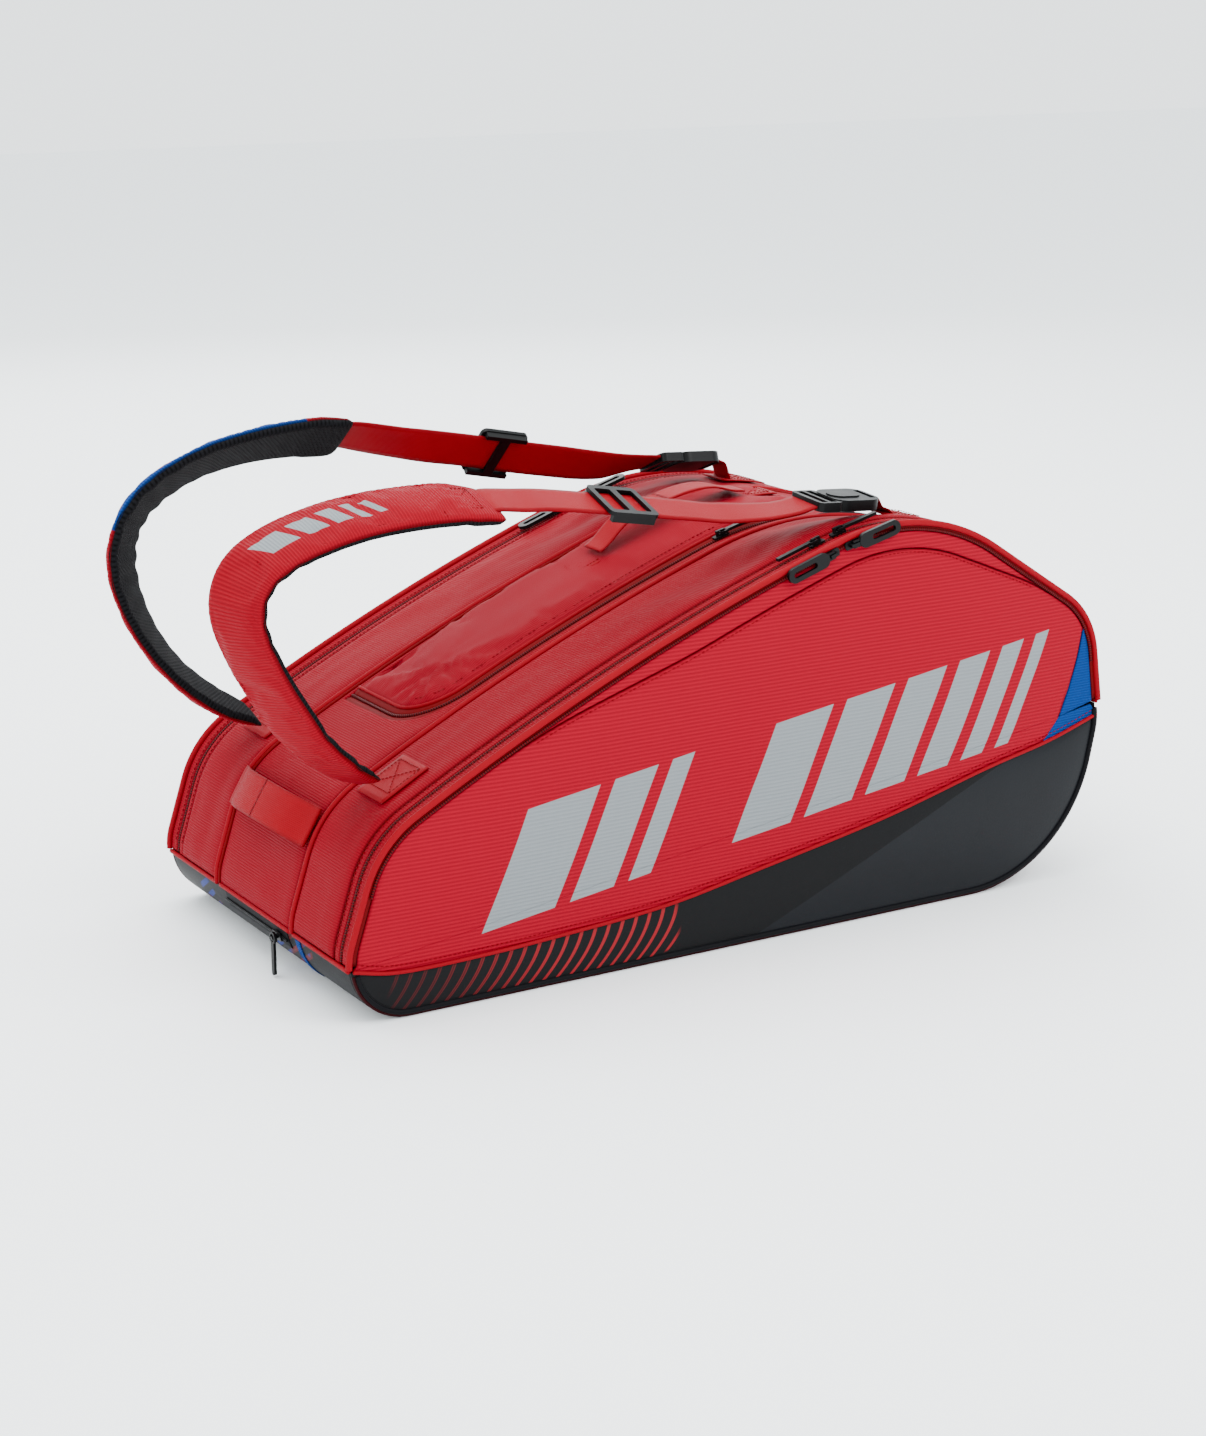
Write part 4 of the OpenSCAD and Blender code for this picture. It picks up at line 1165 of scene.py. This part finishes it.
def wall_sheet(name, y, inset, body, node, floor_gap=6.0):
    """A softly quilted inside wall at one width."""
    whole = node.endswith("divider")
    upper = outline(stations(WALL_0 + 6, WALL_1 - 6, 8.0), 1 if y > 0 else 0, inset)
    lower = hinge_line(0.02, 0.98, 1.5)
    if whole:
        lower = outline(stations(GIRTH + WALL_0 - 6, WALL_1 + 6, 8.0), 0, floor_gap)
    rows = np.linspace(0, 1, 26)
    a, b = path(lower, 90), path(upper, 90)
    xz = rows_between(a, b, rows)
    quilt = 0.45 + 0.6 * np.abs(np.sin(xz[..., 0] / 24) * np.sin(xz[..., 1] / 24)) if whole else 0.35
    outer = np.stack([xz[..., 0], y + quilt * np.ones(xz.shape[:2]), xz[..., 1]], -1)
    inner = np.stack([xz[..., 0], y - quilt * np.ones(xz.shape[:2]), xz[..., 1]], -1)
    cloth = np.stack([xz[..., 0], xz[..., 1]], -1)
    return sheet(name, outer, inner, cloth, 0.0, [lining], body, [node])


wall_sheet("front_divider_cloth", -74.0, 7.0, "shell", "front_divider")
wall_sheet("rear_divider_cloth", 74.0, 7.0, "shell", "rear_divider")
wall_sheet("front_wall_cloth", -169.6, 4.0, "front_lid", "front_lid_wall")


# ---------------------------------------------------------------- straps
STRAP_Y = 110.0
FRONT_PAD = np.array([
    (-319, -110, 174), (-321, -110, 175), (-343, -110, 188), (-371, -110, 214), (-394, -110, 248),
    (-412, -110, 281), (-423, -110, 310), (-423, -110, 334), (-412, -110, 353), (-390, -110, 367),
    (-360, -110, 377), (-325, -110, 384), (-288, -110, 387), (-250, -110, 387), (-225, -110, 384), (-204, -110, 380)
])
REAR_PAD = np.array([
    (-319, 110, 174), (-321, 110, 175), (-354, 110, 194), (-384, 110, 220), (-408, 110, 252), (-424, 110, 287),
    (-430, 110, 320), (-424, 110, 349), (-403, 110, 374), (-366, 110, 394), (-322, 110, 405), (-272, 110, 409),
    (-228, 110, 406)
])
FRONT_WEB = np.array([
    (-214, -110, 385), (-206, -110, 386), (-182, -110, 384), (-150, -110, 380), (-108, -110, 373), (-66, -110, 366),
    (-25, -110, 359), (5, -112, 354), (35, -116, 353), (60, -120, 354), (90, -122, 357)
])
REAR_WEB = np.array([
    (-238, 110, 408), (-225, 110, 407), (-205, 110, 403), (-150, 110, 391), (-108, 110, 383), (-66, 110, 374),
    (-25, 110, 366), (5, 111, 360), (32, 112, 356), (56, 114, 355), (84, 116, 354)
])
FRONT_ROLL = [17] * 16
REAR_ROLL = [-12, -12, -15, -18, -24, -31, -37, -38, -36, -33, -32, -34, -40]
FRONT_WEB_ROLL = [17] * 7 + [16, 13, 8, 4]
REAR_WEB_ROLL = [-40, -40, -44, -52, -52, -52, -52, -50, -44, -34, -24]


def sweep(route, roll, n):
    """Points along a route with the width and face-up directions of a strap rolled about it."""
    table = path(np.column_stack([route, np.asarray(roll, float)]), n)
    line, roll = table[:, :3], np.radians(table[:, 3])
    t = unit_rows(np.gradient(line, axis=0))
    out = unit_rows(np.cross(t, [0, 1.0, 0]))
    across = np.cos(roll)[:, None] * np.cross(out, t) + np.sin(roll)[:, None] * out
    run = run_along(line)
    return line, t, across, np.cross(t, across), run


def strap_grid(frame_, v, half, lift):
    """Points across a strap: v from -1 to 1, half its width, lift above its middle."""
    line, _, across, up, _ = frame_
    return line[:, None] + across[:, None] * (v * half)[..., None] + up[:, None] * lift[..., None]


def pad(tag, route, roll, blue_part):
    """A shoulder pad: a crowned cover over spacer mesh, with rolled edges."""
    n = 150
    frame_ = sweep(route, roll, n)
    run = frame_[4]
    length = run[-1]
    half = np.interp(run, [0, 10, 34, 90, length - 30, length - 6, length], [17, 19, 26, 31, 31, 27, 23])[:, None]
    v = np.sign(np.linspace(-1, 1, 31)) * (1 - (1 - np.abs(np.linspace(-1, 1, 31))) ** 1.5)
    v = np.broadcast_to(v[None, :], (n, 31))
    from_end = np.minimum(run, length - run)[:, None]
    full = 0.32 + 0.68 * pillow(from_end, 22)
    edge = (1 - np.abs(v)) * half
    crown = full * (4.3 * pillow(edge, 5.0) + 1.5 * (1 - v * v))
    side = np.stack([run[:, None] + 0 * v, v * half, 0 * v], -1)
    crown = crown + 0.5 * ripple(side, 34, 3.0 if tag == "front" else 8.0) * pillow(edge, 12)
    bend = np.gradient(np.gradient(frame_[0], axis=0), axis=0)
    tight = smooth((np.linalg.norm(bend, axis=1) * n * n / length ** 2 - 0.002) * 120)[:, None]
    folds = tight * (0.5 + 0.5 * np.sin(run[:, None] / 11 * math.pi)) * (0.5 + 0.5 * np.abs(v))
    under = full * (-5.3 * pillow(edge, 4.0)) + 1.6 * folds * full
    top = strap_grid(frame_, v, half, crown)
    low = strap_grid(frame_, v, half, under)
    middle_up = strap_grid(frame_, v, half * 0.985, 0.15 + 0 * v)
    middle_low = strap_grid(frame_, v, half * 0.985, -0.15 + 0 * v)
    cloth = np.stack([side[..., 0], side[..., 1]], -1)
    # the weight of the shade painted along the pad's edges
    seam = 1 - smooth(edge / 1.4)
    paint = np.zeros((n - 1, 30), int)
    if blue_part:
        a, b = blue_part
        span = (run[1:] > a * length) & (run[1:] < b * length)
        paint[np.ix_(span, np.nonzero(v[0, 1:] < -0.74)[0])] = 1
    outer_red = pad_marked if tag == "front" else pad_red
    cover = sheet(f"{tag}_pad_cover", top, middle_up, cloth, seam, [outer_red, pad_blue, pad_red], None,
                  [f"{tag}_pad"], paint=paint, ride=False)
    mesh = sheet(f"{tag}_pad_underside", middle_low, low, cloth, 0.0, [mesh_black], None,
                 [f"{tag}_pad_mesh"], ride=False)
    line = frame_[0]

    def held(p):
        near = np.array([np.argmin(np.sum((line - q) ** 2, axis=1)) for q in p])
        away = np.abs(np.sum((p - line[near]) * frame_[2][near], axis=1)) / half[near, 0]
        up = np.sum((p - line[near]) * frame_[3][near], axis=1)
        return np.clip((away - 0.80) / 0.12, 0, 1) + (np.abs(up) < 0.4) + (near < 16) + (near > n - 12)

    settle(cover, 0.9, 2.2, held)
    for piece in (cover, mesh):
        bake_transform(piece)
    for k, share in enumerate((-0.80, 0.80)):
        i = slice(18, n - 6)
        line = strap_grid(frame_, np.full((n, 1), share), half, crown[:, [int(15 + 15 * share)]] + 0.1)[i, 0]
        stitches(f"{tag}_pad_stitches_{k}", line, frame_[3][i], f"{tag}_strap", "red_fabric", stitch_red)
    for k, where in enumerate((0.52, 0.87)):
        i = int(n * where)
        q = np.linspace(-0.93, 0.93, 24)
        height = (np.interp(q, v[i], crown[i]) + 0.15)[:, None]
        line = frame_[0][i] + frame_[2][i] * (q * half[i, 0])[:, None] + frame_[3][i] * height
        stitches(f"{tag}_pad_cross_{k}", line, np.tile(frame_[3][i], (24, 1)), f"{tag}_strap", "red_fabric", stitch_red)
    return frame_


def webbing(tag, route, roll, seed):
    n = 120
    frame_ = sweep(route, roll, n)
    run = frame_[4]
    v = np.broadcast_to(np.linspace(-1, 1, 9)[None, :], (n, 9))
    half = np.full((n, 1), 18.6)
    side = np.stack([run[:, None] + 0 * v, v * 19, 0 * v], -1)
    x = frame_[0][:, 0]
    loose = 0.25 + smooth((x - 12) / 25) + smooth((-160 - x) / 25)
    wave = 0.9 * ripple(side, 70, seed) * (loose * smooth(np.minimum(run, run[-1] - run) / 20))[:, None]
    # the weight of the shade painted along the webbing's edges
    seam = 1 - smooth((1 - np.abs(v)) * 18.6 / 1.0)
    sheet(f"{tag}_strap_webbing", strap_grid(frame_, v, half, wave + 1.0), strap_grid(frame_, v, half, wave - 1.0),
          np.stack([run[:, None] + 0 * v, v * 19], -1), seam * 0.4, [webbing_red], f"{tag}_strap",
          [f"{tag}_webbing"])


def box_cross(name, centre, along, side, up, length, width, body, slot="red_webbing"):
    """A stitched box with a cross in it."""
    c = [centre + along * a * length / 2 + side * b * width / 2 for a, b in ((-1, -1), (1, -1), (1, 1), (-1, 1))]
    for k, (a, b) in enumerate(((0, 1), (1, 2), (2, 3), (3, 0), (0, 2), (1, 3))):
        line = np.linspace(c[a], c[b], 6)
        stitches(f"{name}_{k}", line, np.tile(up, (6, 1)), body, slot, stitch_red, pitch=3.4, length=2.5)


def boxed_patch(patch_name, box_name, patch_s, y, height, half, thick, box_at, box_height, box, body, replaces=()):
    """A sewn patch along the wrap, with a stitched box on it."""
    patch, up = surf(patch_s, np.full(len(patch_s), y), height)
    ribbon(patch_name, patch, half, thick, body, up, replaces=replaces)
    middle, out = surf(box_at, y, box_height)
    along = (patch[-1] - patch[0]) / np.linalg.norm(patch[-1] - patch[0])
    box_cross(box_name, middle, along, np.array([0, 1.0, 0]), out, *box, body)


front_frame = pad("front", FRONT_PAD, FRONT_ROLL, None)
rear_frame = pad("rear", REAR_PAD, REAR_ROLL, (0.50, 0.90))
for tag, route, roll, seed, pad_frame in (("front", FRONT_WEB, FRONT_WEB_ROLL, 1.5, front_frame),
                                          ("rear", REAR_WEB, REAR_WEB_ROLL, 6.5, rear_frame)):
    webbing(tag, route, roll, seed)
    i = 138
    box_cross(f"{tag}_pad_box", pad_frame[0][i] + pad_frame[3][i] * 5.6, pad_frame[1][i], pad_frame[2][i],
              pad_frame[3][i], 26, 34, f"{tag}_strap")


def ribbon(name, line, half, thick, body, ups, materials=None, replaces=(), ride=True):
    """Flat webbing along a line; ups are the face directions."""
    line = np.asarray(line, float)
    t = unit_rows(np.gradient(line, axis=0))
    up = unit_rows(ups - t * np.sum(ups * t, axis=1)[:, None])
    across = np.cross(up, t)
    v = np.linspace(-1, 1, 11)
    bulge = thick / 2 * (1 - 0.35 * v ** 6)
    top = line[:, None] + across[:, None] * (v * half)[None, :, None] + up[:, None] * bulge[None, :, None]
    low = line[:, None] + across[:, None] * (v * half)[None, :, None] - up[:, None] * bulge[None, :, None]
    run = run_along(line)
    cloth = np.stack(np.broadcast_arrays(run[:, None], (v * half)[None, :]), -1)
    # the weight of the shade painted along the ribbon's edges
    seam = np.broadcast_to((1 - smooth((1 - np.abs(v)) * half / 1.2))[None, :] * 0.4, cloth.shape[:2])
    return sheet(name, top, low, cloth, seam, materials or [webbing_red], body, replaces, ride=ride)


# stitched patches at both ends of each strap
for side, tag in ((-1, "front"), (1, "rear")):
    boxed_patch(f"{tag}_foot_patch", f"{tag}_foot_box", np.linspace(203, 250, 12), side * STRAP_Y, 3.6, 22, 1.6,
                229.0, 4.7, (32, 34), "shell", ["strap_patches"] if side < 0 else ())

# loops from the wrap up to each buckle's bar: width, station, height of the sewn end, and the bar's x and z
LOOPS = (("front", -122.0, 715.0, 9.5, (149.0, 352.3)), ("rear", 116.0, 706.0, 20.0, (144.0, 349.4)))
for tag, y, s, rise, bar in LOOPS:
    ss = np.linspace(s + 42, s + 12, 8)
    flat, up = surf(ss, np.full(8, y), 4.6)
    ear, _ = surf(float(s), y, rise)
    hook = np.array([[ear[0] + 5, y, ear[2] - 1.2], [ear[0] - 1, y, ear[2] + 1.6], [bar[0] + 2.5, y, bar[1] + 2.6],
                     [bar[0] - 1.2, y, bar[1] + 1.2]])
    line = path(np.vstack([flat, hook]), 40)
    ups = np.tile(up[3], (40, 1))
    loop = ribbon(f"{tag}_anchor_loop", line, 12.5, 1.8, None, ups,
                  replaces=["buckle_anchors"] if tag == "front" else (), ride=False)
    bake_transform(loop)
    boxed_patch(f"{tag}_anchor_patch", f"{tag}_anchor_box", np.linspace(s + 1, s + 46, 10), y, 4.9, 19, 1.4,
                s + 24.0, 5.9, (28, 28), "shell")

# ---------------------------------------------------------------- handles


def arch(n, half, low, high):
    """A carry handle's side view, from end to end: x along it and height."""
    foot, knee = low + (high - low) * 0.22, low + (high - low) * 0.74
    points = [(-half, low), (-half * 0.86, foot), (-half * 0.62, knee), (-half * 0.34, high), (0, high + 1),
              (half * 0.34, high), (half * 0.62, knee), (half * 0.86, foot), (half, low)]
    return path(points, n)


def handle_halves(names, line, half, thick, up, replaces):
    """A handle in two halves; each runs along the arch from the point it is sewn at to the middle, where they overlap
    by a point.
    """
    for k, name in enumerate(names):
        part, order = (line[:31], line) if k == 0 else (line[29:], line[::-1])
        piece = ribbon(name, part, half, thick, None, np.tile(up, (len(part), 1)),
                       replaces=replaces if k == 0 else (), ride=False)
        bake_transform(piece)


low_x, low_z, low_a = place(590.0, 1)
a = math.radians(low_a - 3)
ax_x, ax_z = np.array([math.cos(a), 0, math.sin(a)]), np.array([-math.sin(a), 0, math.cos(a)])
origin = np.array([low_x, 15.0, low_z])
shape = arch(60, 76, 9, 28)
line = origin + shape[:, :1] * ax_x + shape[:, 1:] * ax_z
handle_halves(("top_handle_left", "top_handle_right"), line, 14, 2.2, ax_z,
              ["top_handle"])
for k, s in enumerate((590 - 98, 590 + 82)):
    boxed_patch(f"handle_patch_{k}", f"handle_box_{k}", np.linspace(s - 8, s + 26, 10), 15.0, 9.4, 15.5, 1.6,
                s + 9.0, 10.5, (24, 22), "flap", ["handle_patches"] if k == 0 else ())

ex, ez, ea = place(160.0, 0)
a = math.radians(ea)
out_dir = np.array([-math.sin(a), 0, math.cos(a)])
shape = arch(60, 71, 3.5, 18)
line = np.array([ex, 0, ez]) + np.outer(shape[:, 0], [0, 1.0, 0]) + np.outer(shape[:, 1] + 1.5, out_dir)
handle_halves(("end_handle_near", "end_handle_far"), line, 17, 3.2, out_dir,
              ["end_handle", "end_handle_tabs"])

# ---------------------------------------------------------------- hardware
for node, obj in NODES.items():
    if obj.hide_render:
        continue
    obj.data.materials.clear()
    obj.data.materials.append(board if node == "base_board" else plastic)
    rounding = obj.modifiers.new("rounding", "BEVEL")
    rounding.width = 0.0011 if "buckle" in node or "adjuster" in node else 0.0004
    rounding.segments = 3
    rounding.limit_method = "ANGLE"
